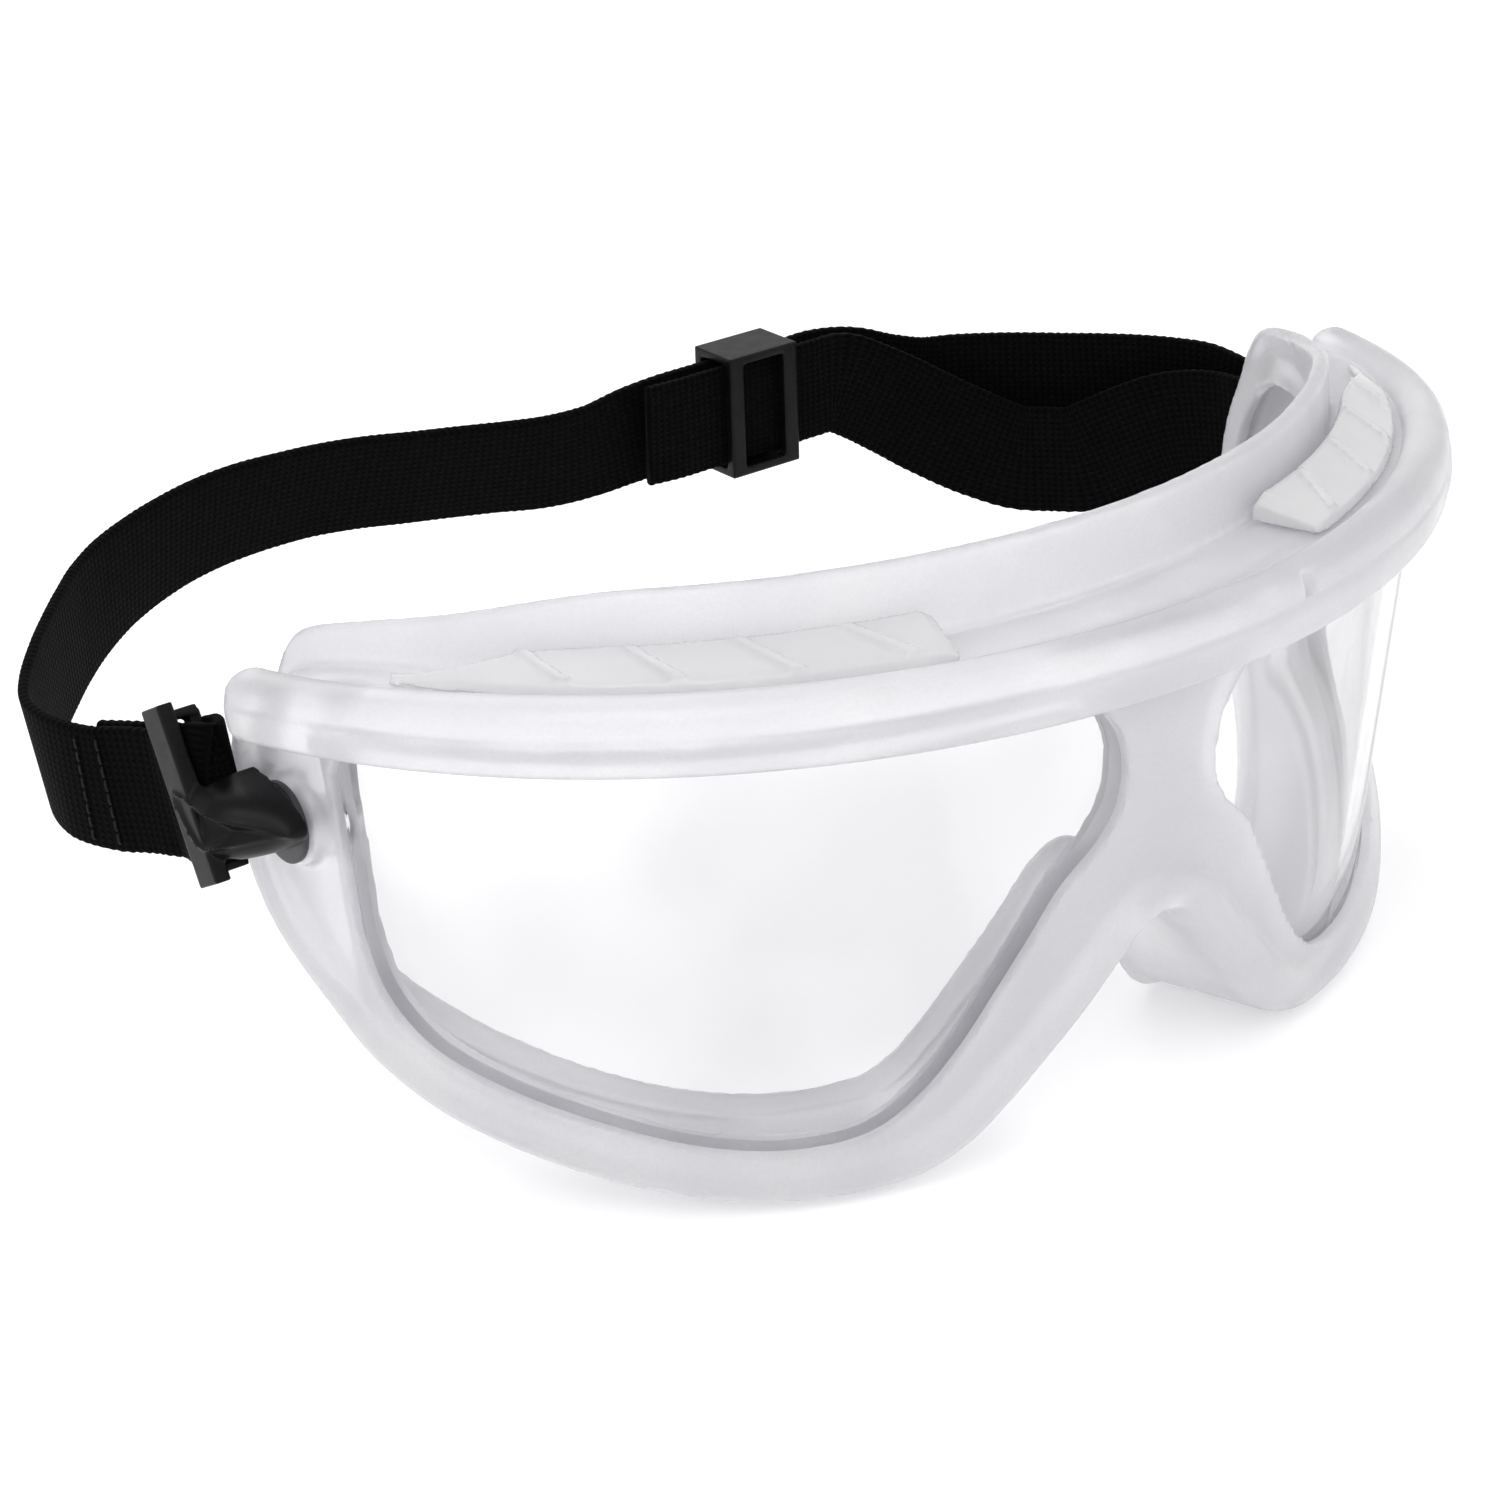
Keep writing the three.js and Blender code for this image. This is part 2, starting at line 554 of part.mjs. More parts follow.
// Unit direction from the lower to the upper edge of the webbing; it leans with the clip at each end.
function bandUp(p) {
  const along = bandAlong(p);
  const near = 1 - smoothstep(p, 12, 38);
  const far = smoothstep(p, BAND_LENGTH - 38, BAND_LENGTH - 12);
  const lean = Math.tan(degToRad(BAR_LEAN) * (near - far));
  const roll = Math.tan(degToRad(smoothed(ROLL_KNOTS, p)));
  const outward = new THREE.Vector3(-along.y, along.x, 0);
  return new THREE.Vector3(0, 0, 1).addScaledVector(along, lean).addScaledVector(outward, roll).normalize();
}

// Distance of each of the two runs from the plan line where the webbing is doubled.
const LAYER_HALF = 0.8;
const LOOSE_HALF = 1.55;
const TAIL_SAG = 1.4;
const LOOP_STEPS = [10, 7, LOOP_TURN];
const HALF_TURN = [0.2, 0.4, 0.6, 0.8];

// The sewn loop round the right clip's inner bar: in from the hem, round the bar and out again.
function nearLoop(put) {
  const apart = (p) => lerp(LAYER_OFFSET, LAYER_HALF, smoothstep(p, 10.5, 17));
  const run = [24, 21, 18, 15, 12.5, ...LOOP_STEPS];
  run.forEach((p) => put(p, -apart(p), OUTER_KNOTS));
  HALF_TURN.forEach((t) => {
    const turn = Math.PI * t;
    put(LOOP_TURN - LAYER_OFFSET * Math.sin(turn), -LAYER_OFFSET * Math.cos(turn), OUTER_KNOTS, LOOP_TURN);
  });
  run.toReversed().forEach((p) => put(p, apart(p), OUTER_KNOTS));
}

// The loop round the left clip's inner bar, from the outer run to the return run.
function farLoop(put) {
  const run = [16, 12.5, ...LOOP_STEPS].map((back) => BAND_LENGTH - back);
  const turnAt = BAND_LENGTH - LOOP_TURN;
  run.forEach((p) => put(p, LAYER_OFFSET, OUTER_KNOTS));
  HALF_TURN.forEach((t) => {
    const turn = Math.PI * t;
    put(turnAt + LAYER_OFFSET * Math.sin(turn), LAYER_OFFSET * Math.cos(turn), OUTER_KNOTS, turnAt);
  });
  run.toReversed().forEach((p) => put(p, -LAYER_OFFSET, RETURN_KNOTS));
}

// Stations along the whole webbing: right loop, outer run, left loop, return run through the buckle.
function strapStations() {
  const stations = [];
  const put = (p, q, knots, levelFrom = p) => stations.push({ p, q, z: levelAt(knots, levelFrom) });
  const opening = BUCKLE_AT - 18;
  const farEnd = BAND_LENGTH - 20;
  nearLoop(put);
  for (const p of spread(30, opening, 20)) {
    put(p, lerp(LAYER_HALF, LOOSE_HALF, smoothstep(p, 30, opening)), OUTER_KNOTS);
  }
  for (const p of spread(opening, farEnd, 18).slice(1)) put(p, LOOSE_HALF, OUTER_KNOTS);
  farLoop(put);
  for (const p of spread(farEnd, BUCKLE_AT - TAIL_LENGTH, 20)) {
    const sag = smoothstep(p, BUCKLE_AT + 16, BUCKLE_AT + 34) * (1 - smoothstep(p, farEnd - 14, farEnd));
    put(p, -LOOSE_HALF - TAIL_SAG * sag, RETURN_KNOTS);
  }
  return stations;
}

// Half the width of the webbing, which is drawn in where it passes through the adjuster.
function halfWidth(p) {
  const away = Math.abs(p - BUCKLE_AT);
  return (STRAP_WIDTH / 2) * (1 - STRAP_PINCH * (1 - smoothstep(away, 14, 32)));
}

function headStrap() {
  const stations = strapStations();
  const centres = stations.map(({ p, q, z }) => bandPoint(p, q, z));
  const corners = [[-1, -1], [-1, 1], [1, 1], [1, -1]];
  return skin(centres.map((centre, i) => {
    const before = centres[Math.max(0, i - 1)];
    const after = centres[Math.min(centres.length - 1, i + 1)];
    const tangent = after.clone().sub(before).normalize();
    const up = bandUp(stations[i].p);
    const out = up.clone().cross(tangent).normalize();
    return corners.map(([h, n]) => {
      const corner = centre.clone().addScaledVector(up, h * halfWidth(stations[i].p));
      return corner.addScaledVector(out, (n * STRAP_THICKNESS) / 2);
    });
  }));
}

// Slide adjuster: two rails joined by outer end rungs, a centre rung between the runs and inner end rungs.
function slideAdjuster() {
  const reach = LOOSE_HALF + STRAP_THICKNESS / 2 + CLEARANCE;
  const inside = halfWidth(BUCKLE_AT) + CLEARANCE;
  const across = 2 * (reach + ADJUSTER_RUNG);
  const tall = 2 * inside + 1;
  const rails = [-1, 1].map((side) => {
    const rail = new THREE.BoxGeometry(ADJUSTER_LENGTH, across, ADJUSTER_RAIL);
    return rail.translate(0, 0, side * (inside + ADJUSTER_RAIL / 2));
  });
  const rungs = [[-1, -1], [-1, 1], [1, -1], [1, 1]].map(([end, face]) => {
    const rung = new THREE.BoxGeometry(2.2, ADJUSTER_RUNG, tall);
    return rung.translate(end * (ADJUSTER_LENGTH / 2 - 1.1), face * (reach + ADJUSTER_RUNG / 2), 0);
  });
  const centre = new THREE.BoxGeometry(2.4, 1.2, tall);
  const along = bandAlong(BUCKLE_AT);
  const at = bandPoint(BUCKLE_AT, 0, BUCKLE_LEVEL);
  const body = geometryOf(union([...rails, ...rungs, centre]));
  return body.rotateZ(Math.atan2(along.y, along.x)).translate(at.x, at.y, at.z);
}

const MATERIALS = {
  frosted_vinyl: { color: 0xdfe1ea, roughness: 0.5, metalness: 0 },
  clear_lens: { color: 0xeef4f6, roughness: 0.05, metalness: 0 },
  clear_vinyl: { color: 0xe6e8f0, roughness: 0.3, metalness: 0 },
  black_nylon: { color: 0x141416, roughness: 0.38, metalness: 0 },
  dark_washer: { color: 0x2a2a2e, roughness: 0.45, metalness: 0 },
  black_webbing: { color: 0x0c0c0e, roughness: 0.9, metalness: 0 },
};

const group = new THREE.Group();

function add(name, geometry, slot) {
  const material = new THREE.MeshStandardMaterial({ name: slot, ...MATERIALS[slot] });
  const mesh = new THREE.Mesh(geometry, material);
  mesh.name = name;
  group.add(mesh);
}

function addPair(name, geometry, slot) {
  add(`${name}_left`, geometry, slot);
  add(`${name}_right`, mirrored(geometry), slot);
}

add("frame_body", frameBody(), "frosted_vinyl");
add("lens", lensSheet(0), "clear_lens");
addPair("vent_cover", ventCover(), "clear_vinyl");
addPair("strap_clip", strapClip(), "black_nylon");
addPair("pivot_washer", pivotWasher(), "dark_washer");
addPair("peg_cap", pegCap(), "clear_vinyl");
add("head_strap", headStrap(), "black_webbing");
add("slide_adjuster", slideAdjuster(), "black_nylon");

export default group;
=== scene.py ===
"""Looks of the wide-vision safety goggles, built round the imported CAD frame.

Lengths are millimetres in the row frame: +Z up, the wearer looks along -Y, +X is the wearer's left.
"""
import math

import bmesh
import bpy
import numpy as np
from mathutils import Matrix, Vector


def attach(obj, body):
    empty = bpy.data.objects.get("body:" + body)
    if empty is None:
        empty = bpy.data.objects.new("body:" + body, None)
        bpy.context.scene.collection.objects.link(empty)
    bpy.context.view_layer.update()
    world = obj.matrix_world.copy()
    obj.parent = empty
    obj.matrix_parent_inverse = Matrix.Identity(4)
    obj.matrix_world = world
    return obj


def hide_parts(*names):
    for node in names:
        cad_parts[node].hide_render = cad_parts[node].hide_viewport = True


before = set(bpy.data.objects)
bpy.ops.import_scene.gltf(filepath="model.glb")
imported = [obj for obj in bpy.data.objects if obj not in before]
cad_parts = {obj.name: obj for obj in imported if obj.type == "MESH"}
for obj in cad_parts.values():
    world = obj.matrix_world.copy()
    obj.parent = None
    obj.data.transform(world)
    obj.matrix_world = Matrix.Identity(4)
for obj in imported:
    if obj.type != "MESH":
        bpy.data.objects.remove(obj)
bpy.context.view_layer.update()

MM = 0.001

# Plan ellipse, face and brow rail, as in the CAD.
PLAN_HALF_WIDTH, PLAN_WRAP, PLAN_RADIUS = 84.4, 78.1, 81
FACE_DEPTH, FACE_LEAN, SIDE_BULGE, FACE_SKIN, CLEARANCE = 5, 0.11, 2.2, 0.6, 0.3
RAIL_BOTTOM, RAIL_DROP, RAIL_SPAN, RAIL_HEIGHT, RAIL_THICKNESS = 56.5, 3, 115, 7.5, 5.6
RAIL_SKIRT, RAIL_TIP_TAPER, RAIL_END, RAIL_CAP = 0.9, 0.1, 112, 3
DECK_LEVEL, REAR_DEPTH, REAR_TAPER, REAR_LEAN = 62, 18.3, 6, 0.19
FLANGE_HEIGHT, FLANGE_TAPER, FLANGE_LIP, SEAL_WIDTH, WALL = 8.5, 0.6, 1, 3.6, 2
BEAD_WIDTH, BEAD_CROWN, TEMPLE_CROWN = 6.3, 2.5, 0.9
LIP_DEPTH, SHEET_DEPTH, TEMPLE_LIP_DEPTH, TEMPLE_SHEET_DEPTH = 5.2, 4.7, 3, 2.5
LIP_WIDTH, SHEET_REACH, SHEET_INSET = 5.8, 117, 2.4
LENS_SETBACK, LENS_THICKNESS, LENS_INSET, LENS_TOP_INSET, LENS_END = 1, 2, 3.2, 2, 101.2
WINDOW_NOSE, WINDOW_ARCH, WINDOW_ROUND, WINDOW_END = 6.7, 16, 95.6, 99.6
OUTLINE = [
    (0, 25.6), (3, 24.4), (6, 21.3), (10, 16.8), (15, 11.8), (20, 6.9), (25, 2.9), (31, 0.3),
    (38, -0.4), (46, -0.3), (55, 0.6), (64, 2.2), (73, 4.4), (82, 7.1), (90, 10), (98, 13.4),
    (105, 17), (111.5, 21.6), (116.5, 27.4), (119, 34), (119.4, 41), (118.2, 48), (114.8, 54), (109, 58),
]
OUTLINE_TOP = [100, 85, 68, 50, 33, 16, 0]
WINDOW_LOW = [
    (6.7, 44.2), (7.2, 41), (9.5, 37.2), (14, 33), (18.4, 26.6), (22, 21.4), (26, 15.8), (31, 10.6),
    (37, 7), (46, 6.1), (58, 7.6), (70, 10.6), (82, 14.2), (92, 18.4), (97.4, 23.4), (99.6, 30),
]
WINDOW_HIGH = [(6.7, 44.8), (7.2, 48), (9, 51.6), (12, 54.6), (16, 56.2)]

# Vents: slots through the deck and the ribbed covers above them.
SLOTS, SLOT_HALF, SLOT_FRONT, SLOT_REAR = (38, 52, 66), 3.5, 9, 12
COVER_GAP, COVER_RIBS, RIB_SLANT, RIB_HALF = 0.35, (35, 48, 61, 74), 3.2, 1.2
COVER_START, COVER_END = 27, 92.5

# Pivots, washers, caps and clips.
PIVOT_Y, PIVOT_Z, BOSS_FACE, BOSS_BACK, BOSS_RADIUS = 60.8, 42.5, 76.6, 72.6, 5.2
DISH_RADIUS, DISH_MOUTH, WELL_RADIUS = 5.9, 11, 4.2
PEG_RADIUS, WASHER_RADIUS, WASHER_THICKNESS, CAP_RADIUS, CAP_THICKNESS = 1.6, 4.6, 0.8, 3, 1.6
BAR_LEAN, BAR_RISE, BAR_REACH, BAR_LENGTH, BAR_DEPTH = math.radians(28), 3.2, 6.6, 19.8, 4.4
INNER_BAR_DEPTH, BRIDGE, BRIDGE_AT, HOOD_CREST = 1.8, 1.1, 8.45, 1.6

# Headband and slide adjuster.
STRAP_WIDTH, STRAP_THICKNESS, STRAP_LINE, LAYER_OFFSET = 15, 1.3, 81.4, 1.7
INNER_BAR, LOOP_TURN, TAIL_LENGTH, STRAP_PINCH = 1.5, 6, 17, 0.09
LAYER_HALF, LOOSE_HALF, TAIL_SAG = 0.8, 1.55, 1.4
ADJUSTER_LENGTH, ADJUSTER_RUNG, ADJUSTER_RAIL = 11, 1.4, 1.1
HOOD_SEAT = BOSS_FACE + WASHER_THICKNESS + 2 * CLEARANCE
BAR_IN = STRAP_LINE + LAYER_OFFSET + STRAP_THICKNESS / 2 + CLEARANCE
BAR_OUT = BAR_IN + 1.9


def lerp(a, b, t):
    return a + (b - a) * t


def smoothstep(x, low, high):
    t = np.clip((np.asarray(x, float) - low) / (high - low), 0, 1)
    return t * t * (3 - 2 * t)


def spread(start, end, count):
    return np.linspace(start, end, count + 1)


def catmull(points, per, closed=False):
    """Centripetal Catmull-Rom curve through the points, with per steps between neighbours."""
    p = np.asarray(points, float)
    n = len(p)
    if closed:
        p = np.concatenate([p[-1:], p, p[:2]])
    else:
        p = np.concatenate([[2 * p[0] - p[1]], p, [2 * p[-1] - p[-2]]])
    t = (np.arange(per) / per)[:, None]
    rows = []
    for i in range(n if closed else n - 1):
        a, b, c, d = p[i : i + 4]
        d0, d1, d2 = (max(np.linalg.norm(v) ** 0.5, 1e-4) for v in (b - a, c - b, d - c))
        m1 = ((b - a) / d0 - (c - a) / (d0 + d1) + (c - b) / d1) * d1
        m2 = ((c - b) / d1 - (d - b) / (d1 + d2) + (d - c) / d2) * d1
        rows.append(b + m1 * t + (3 * (c - b) - 2 * m1 - m2) * t**2 + (2 * (b - c) + m1 + m2) * t**3)
    curve = np.concatenate(rows)
    return curve if closed else np.concatenate([curve, p[-2:-1]])


# ---------------------------------------------------------------- mesh building


def make(name, verts, faces):
    mesh = bpy.data.meshes.new(name)
    mesh.from_pydata((np.asarray(verts, float) * MM).tolist(), [], faces)
    work = bmesh.new()
    work.from_mesh(mesh)
    bmesh.ops.recalc_face_normals(work, faces=work.faces)
    work.to_mesh(mesh)
    work.free()
    obj = bpy.data.objects.new(name, mesh)
    bpy.context.scene.collection.objects.link(obj)
    return obj


def skin(sections, closed=False):
    """Vertices and faces of a closed skin over rows of points; an open run gets a fan at each end."""
    rows, n = sections.shape[:2]
    i = np.arange(rows if closed else rows - 1)[:, None]
    j = np.arange(n)[None, :]
    after, beside = (i + 1) % rows * n, (j + 1) % n
    quads = np.stack([i * n + j, i * n + beside, after + beside, after + j], -1).reshape(-1, 4)
    verts, faces = sections.reshape(-1, 3), quads.tolist()
    if not closed:
        verts = np.concatenate([verts, [sections[0].mean(0), sections[-1].mean(0)]])
        for centre, row in ((rows * n, 0), (rows * n + 1, rows - 1)):
            faces += [[centre, row * n + k, row * n + (k + 1) % n] for k in range(n)]
    return verts, faces


def joined(parts):
    verts, faces, count = [], [], 0
    for part_verts, part_faces in parts:
        verts.append(np.asarray(part_verts, float))
        faces += [[v + count for v in face] for face in part_faces]
        count += len(part_verts)
    return np.concatenate(verts), faces


def mirrored(part):
    verts, faces = part
    return np.asarray(verts) * [-1, 1, 1], faces


def moved(part, turn=0, at=(0, 0, 0), axis="X"):
    verts = np.asarray(part[0], float) @ np.array(Matrix.Rotation(turn, 3, axis)).T
    return verts + np.array(at, float), part[1]


def box_part(size, at=(0, 0, 0)):
    corners = np.array([(-1, -1), (1, -1), (1, 1), (-1, 1)]) / 2
    rows = [[(x * size[0], y * size[1], z * size[2]) for x, y in corners] for z in (-0.5, 0.5)]
    verts, faces = skin(np.array(rows, float))
    return verts + np.array(at, float), faces


def rod(radius, x0, x1, y, z, radius1=None, around=64):
    angle = np.linspace(0, 2 * math.pi, around, endpoint=False)
    ends = ((x0, radius), (x1, radius if radius1 is None else radius1))
    rows = [np.stack([np.full(around, x), y + r * np.cos(angle), z + r * np.sin(angle)], -1) for x, r in ends]
    return skin(np.array(rows))


def lathe(profile, around=72):
    """A closed ring round the X axis from (radius, x) points."""
    angle = np.linspace(0, 2 * math.pi, around, endpoint=False)[:, None]
    r, x = np.array(profile, float).T
    ring = np.stack([np.broadcast_to(x, (around, len(x))), r * np.cos(angle), r * np.sin(angle)], -1)
    return skin(ring, closed=True)


def baked(obj):
    """Replaces obj's mesh with its evaluated mesh and drops the modifiers."""
    graph = bpy.context.evaluated_depsgraph_get()
    mesh = bpy.data.meshes.new_from_object(obj.evaluated_get(graph))
    old = obj.data
    obj.modifiers.clear()
    obj.data = mesh
    bpy.data.meshes.remove(old)
    return obj


def boolean(obj, part, operation="DIFFERENCE"):
    tool = make("tool", *part)
    cut = obj.modifiers.new("cut", "BOOLEAN")
    cut.object = tool
    cut.operation = operation
    cut.solver = "MANIFOLD"
    baked(obj)
    bpy.data.objects.remove(tool)
    return obj


def fused(name, parts, voxel, smoothing):
    """One body from overlapping closed parts, with small natural fillets where they meet."""
    obj = make(name, *joined(parts))
    remesh = obj.modifiers.new("fuse", "REMESH")
    remesh.mode = "VOXEL"
    remesh.voxel_size = voxel * MM
    smooth = obj.modifiers.new("soften", "SMOOTH")
    smooth.factor = 0.5
    smooth.iterations = smoothing
    return baked(obj)


def shade(obj, sharp=None):
    obj.data.shade_smooth()
    if sharp:
        obj.data.set_sharp_from_angle(angle=math.radians(sharp))
    return obj


def mesh_part(obj):
    """The vertices (in mm) and faces of an object, which is then removed."""
    mesh = obj.data
    verts = np.zeros(len(mesh.vertices) * 3)
    mesh.vertices.foreach_get("co", verts)
    faces = [list(p.vertices) for p in mesh.polygons]
    bpy.data.objects.remove(obj)
    return verts.reshape(-1, 3) / MM, faces


# ---------------------------------------------------------------- frame shapes


def wrap(s, z, depth):
    s, z, depth = np.broadcast_arrays(*(np.asarray(v, float) for v in (s, z, depth)))
    angle = s / PLAN_RADIUS
    along = np.stack([PLAN_HALF_WIDTH * np.cos(angle), PLAN_WRAP * np.sin(angle)])
    along = along / np.linalg.norm(along, axis=0)
    x = PLAN_HALF_WIDTH * np.sin(angle) - along[1] * depth
    y = PLAN_WRAP * (1 - np.cos(angle)) + along[0] * depth
    return np.stack([x, y, z], -1)


def drop(s):
    return RAIL_DROP * (np.asarray(s, float) / RAIL_SPAN) ** 2


def face_depth(s, z):
    """The face stands further forward along each cheek than at the nose and at the temples."""
    side = np.abs(np.asarray(s, float))
    bulge = SIDE_BULGE * smoothstep(side, 20, 60) * (1 - smoothstep(side, 86, 108))
    return FACE_DEPTH - bulge + FACE_LEAN * (RAIL_BOTTOM - np.asarray(z, float))


def face_point(s, z, offset):
    return wrap(s, z, face_depth(s, z) + offset)


def deck_level(s):
    return DECK_LEVEL - drop(s)


def rear_depth(s, z):
    lean = REAR_LEAN * (DECK_LEVEL - min(z, DECK_LEVEL)) * (1 - 0.5 * (s / RAIL_SPAN) ** 2)
    return REAR_DEPTH - REAR_TAPER * (s / RAIL_SPAN) ** 2 + lean


def outline_stations(per):
    half = OUTLINE + [(s, float(deck_level(s))) for s in OUTLINE_TOP]
    other = [(-s, z) for s, z in half[1:-1][::-1]]
    flat = catmull(half + other, per, closed=True)
    along = np.roll(flat, -1, 0) - np.roll(flat, 1, 0)
    normal = np.stack([-along[:, 1], along[:, 0]], -1)
    return flat, normal / np.linalg.norm(normal, axis=1)[:, None]


OUTLINE_FLAT, OUTLINE_NORMAL = outline_stations(8)


def outline_range(s, inset):
    loop = OUTLINE_FLAT + OUTLINE_NORMAL * inset
    after = np.roll(loop, -1, 0)
    hit = ((loop[:, 0] - s) * (after[:, 0] - s) <= 0) & (loop[:, 0] != after[:, 0])
    a, b = loop[hit], after[hit]
    level = lerp(a[:, 1], b[:, 1], (s - a[:, 0]) / (b[:, 0] - a[:, 0]))
    return level.min(), level.max()


def face_sheet(columns, limits, front, back):
    sections = []
    for s in columns:
        low, high = limits(s)
        corners = np.array([(low, front(s)), (high, front(s)), (high, back(s)), (low, back(s))])
        sections.append(face_point(s, corners[:, 0], corners[:, 1]))
    return skin(np.array(sections))


def temple_step(side):
    """0 along the lens and 1 beyond its end, where the walls are thinner."""
    return smoothstep(side, 102.6, 106)


def ring_part():
    """Rim bead, walls, top deck, rear flange and face seal as one closed ring."""
    turn = np.linspace(0, math.pi, 15)
    bead_w = BEAD_WIDTH / 2 * (1 - np.cos(turn))
    sections = []
    for (s, z), (ns, nz) in zip(OUTLINE_FLAT, OUTLINE_NORMAL):
        side = abs(s)
        upper = 1 if z > 50 and side < 118 else 0
        crown = lerp(BEAD_CROWN, TEMPLE_CROWN, smoothstep(side, 98, 112))
        lip = lerp(LIP_DEPTH, TEMPLE_LIP_DEPTH, temple_step(side))
        taper = (1 - FLANGE_TAPER * smoothstep(side, 62, 108)) * (1 - smoothstep(side, 109, 117))
        flange = FLANGE_LIP + upper * (FLANGE_HEIGHT - FLANGE_LIP) * taper
        deep = rear_depth(side, z) - face_depth(side, z)
        base = lerp(1.5, 0.6, bead_w / BEAD_WIDTH)
        bead_d = base - (crown + base) * np.sin(turn) ** 0.8
        rest = [
            (LIP_WIDTH, lip), (WALL, lip + 0.6), (WALL, deep - 2.6), (SEAL_WIDTH, deep - 1.3),
            (SEAL_WIDTH - 0.3, deep), (0.4 - flange, deep), (-flange, deep - 1), (0.4 - flange, deep - 1.9),
            (0, deep - 2.3),
        ]
        w = np.concatenate([bead_w, [p[0] for p in rest]])
        d = np.concatenate([bead_d, [p[1] for p in rest]])
        sections.append(face_point(s + ns * w, z + nz * w, d + FACE_LEAN * nz * w))
    return skin(np.array(sections), closed=True)


# Place of the moulded tick on the brow rail.
TICK_AT = 14.8


def rail_part():
    """Brow rail: a bullnose bar with a fine parting crease along its front and a moulded tick."""
    profile = catmull(
        [
            (RAIL_THICKNESS, 0.6 - RAIL_SKIRT), (4.6, -RAIL_SKIRT), (1.8, -RAIL_SKIRT),
            (0.5, 0.6 - RAIL_SKIRT), (0, 1.4), (0, 4.5), (0.5, 6.2), (1.7, 7.2), (3.2, RAIL_HEIGHT),
            (4.6, 7.1), (RAIL_THICKNESS, 6),
        ],
        8,
        closed=True,
    )
    d, z = profile.T
    front = 1 - smoothstep(d, 0.3, 1.6)
    d = d + front * (0.22 * np.exp(-(((z - 4.1) / 0.3) ** 2)) + 0.14 * smoothstep(z, 4.1, 4.7))
    centre = (RAIL_THICKNESS / 2, RAIL_HEIGHT / 2)
    quarter = np.linspace(0, math.pi / 2, 14)[1:]
    cap = RAIL_END - RAIL_CAP + RAIL_CAP * np.sin(quarter)
    inner = spread(RAIL_CAP - RAIL_END, RAIL_END - RAIL_CAP, 560)
    sections = []
    for s in np.concatenate([-cap[::-1], inner, cap]):
        into = min(1, (RAIL_END - abs(s)) / RAIL_CAP)
        scale = max(0.05, math.sqrt(max(0, 1 - (1 - into) ** 2)))
        tip = 1 - RAIL_TIP_TAPER * smoothstep(abs(s), 70, 108)
        notch = 0.8 * math.exp(-(((s - TICK_AT) / 0.6) ** 2)) * front * smoothstep(z, 3.6, 4.4)
        level = RAIL_BOTTOM - drop(s) + tip * lerp(centre[1], z, scale)
        sections.append(wrap(s, level, lerp(centre[0], d + notch, scale)))
    return skin(np.array(sections))


def window_part():
    low = catmull(WINDOW_LOW, 8)
    high = catmull(WINDOW_HIGH, 8)

    def limits(s):
        rounded = 4 * smoothstep(s, WINDOW_ROUND, WINDOW_END) ** 2
        under_rail = RAIL_BOTTOM - drop(s) + 0.2 - rounded
        top = np.interp(s, high[:, 0], high[:, 1]) if s < WINDOW_ARCH else under_rail
        return np.interp(s, low[:, 0], low[:, 1]), top

    runs = ((WINDOW_NOSE, 18, 40), (18, 94, 76), (94, WINDOW_END, 16))
    columns = np.unique(np.concatenate([spread(*run) for run in runs]))
    return face_sheet(columns, limits, lambda s: -6, lambda s: 9)


def lens_part(margin, step=1.2):
    end = LENS_END + margin
    columns = spread(-end, end, int(2 * end / step))

    def limits(s):
        low, high = outline_range(s, LENS_INSET)
        return low - margin, high - LENS_TOP_INSET + margin

    front, back = LENS_SETBACK - margin, LENS_SETBACK + LENS_THICKNESS + margin
    return face_sheet(columns, limits, lambda s: front, lambda s: back)


def vent_slot(s):
    corners = np.array([(-4, SLOT_FRONT), (2, SLOT_FRONT), (2, SLOT_REAR), (-4, SLOT_REAR)], float)
    ends = (s - SLOT_HALF, s + SLOT_HALF)
    return skin(np.array([wrap(at, DECK_LEVEL + corners[:, 0], corners[:, 1]) for at in ends]))


def both(part):
    return joined([part, mirrored(part)])


def frame_body():
    def back(s):
        return lerp(SHEET_DEPTH, TEMPLE_SHEET_DEPTH, temple_step(abs(s)))

    columns = spread(-SHEET_REACH, SHEET_REACH, 2 * SHEET_REACH)
    sheet = face_sheet(columns, lambda s: outline_range(s, SHEET_INSET), lambda s: -FACE_SKIN, back)
    boss = rod(BOSS_RADIUS, BOSS_BACK, BOSS_FACE, PIVOT_Y, PIVOT_Z)
    cuts = [
        joined([both(window_part()), box_part((300, 300, 10), (0, 60, -5))]),
        both(rod(DISH_RADIUS, BOSS_FACE, BOSS_FACE + 6, PIVOT_Y, PIVOT_Z, DISH_MOUTH)),
        both(rod(WELL_RADIUS, BOSS_BACK - 8, BOSS_BACK, PIVOT_Y, PIVOT_Z)),
        both(rod(PEG_RADIUS + CLEARANCE, BOSS_BACK - 8, BOSS_FACE + 8, PIVOT_Y, PIVOT_Z)),
    ]
    slots = joined([both(vent_slot(s)) for s in SLOTS])
    parts = []
    for part in (ring_part(), sheet, both(boss)):
        obj = make("part", *part)
        for cut in cuts + [slots]:
            boolean(obj, cut)
        parts.append(mesh_part(obj))
    body = fused("frame_shell", parts, 0.5, 5)
    boolean(body, rail_part(), "UNION")
    boolean(body, lens_part(CLEARANCE))
    return shade(body, 40)


def cover_rear(s):
    return lerp(REAR_DEPTH - 3.1 - REAR_TAPER * (s / RAIL_SPAN) ** 2, 8.2, smoothstep(s, 70, COVER_END))


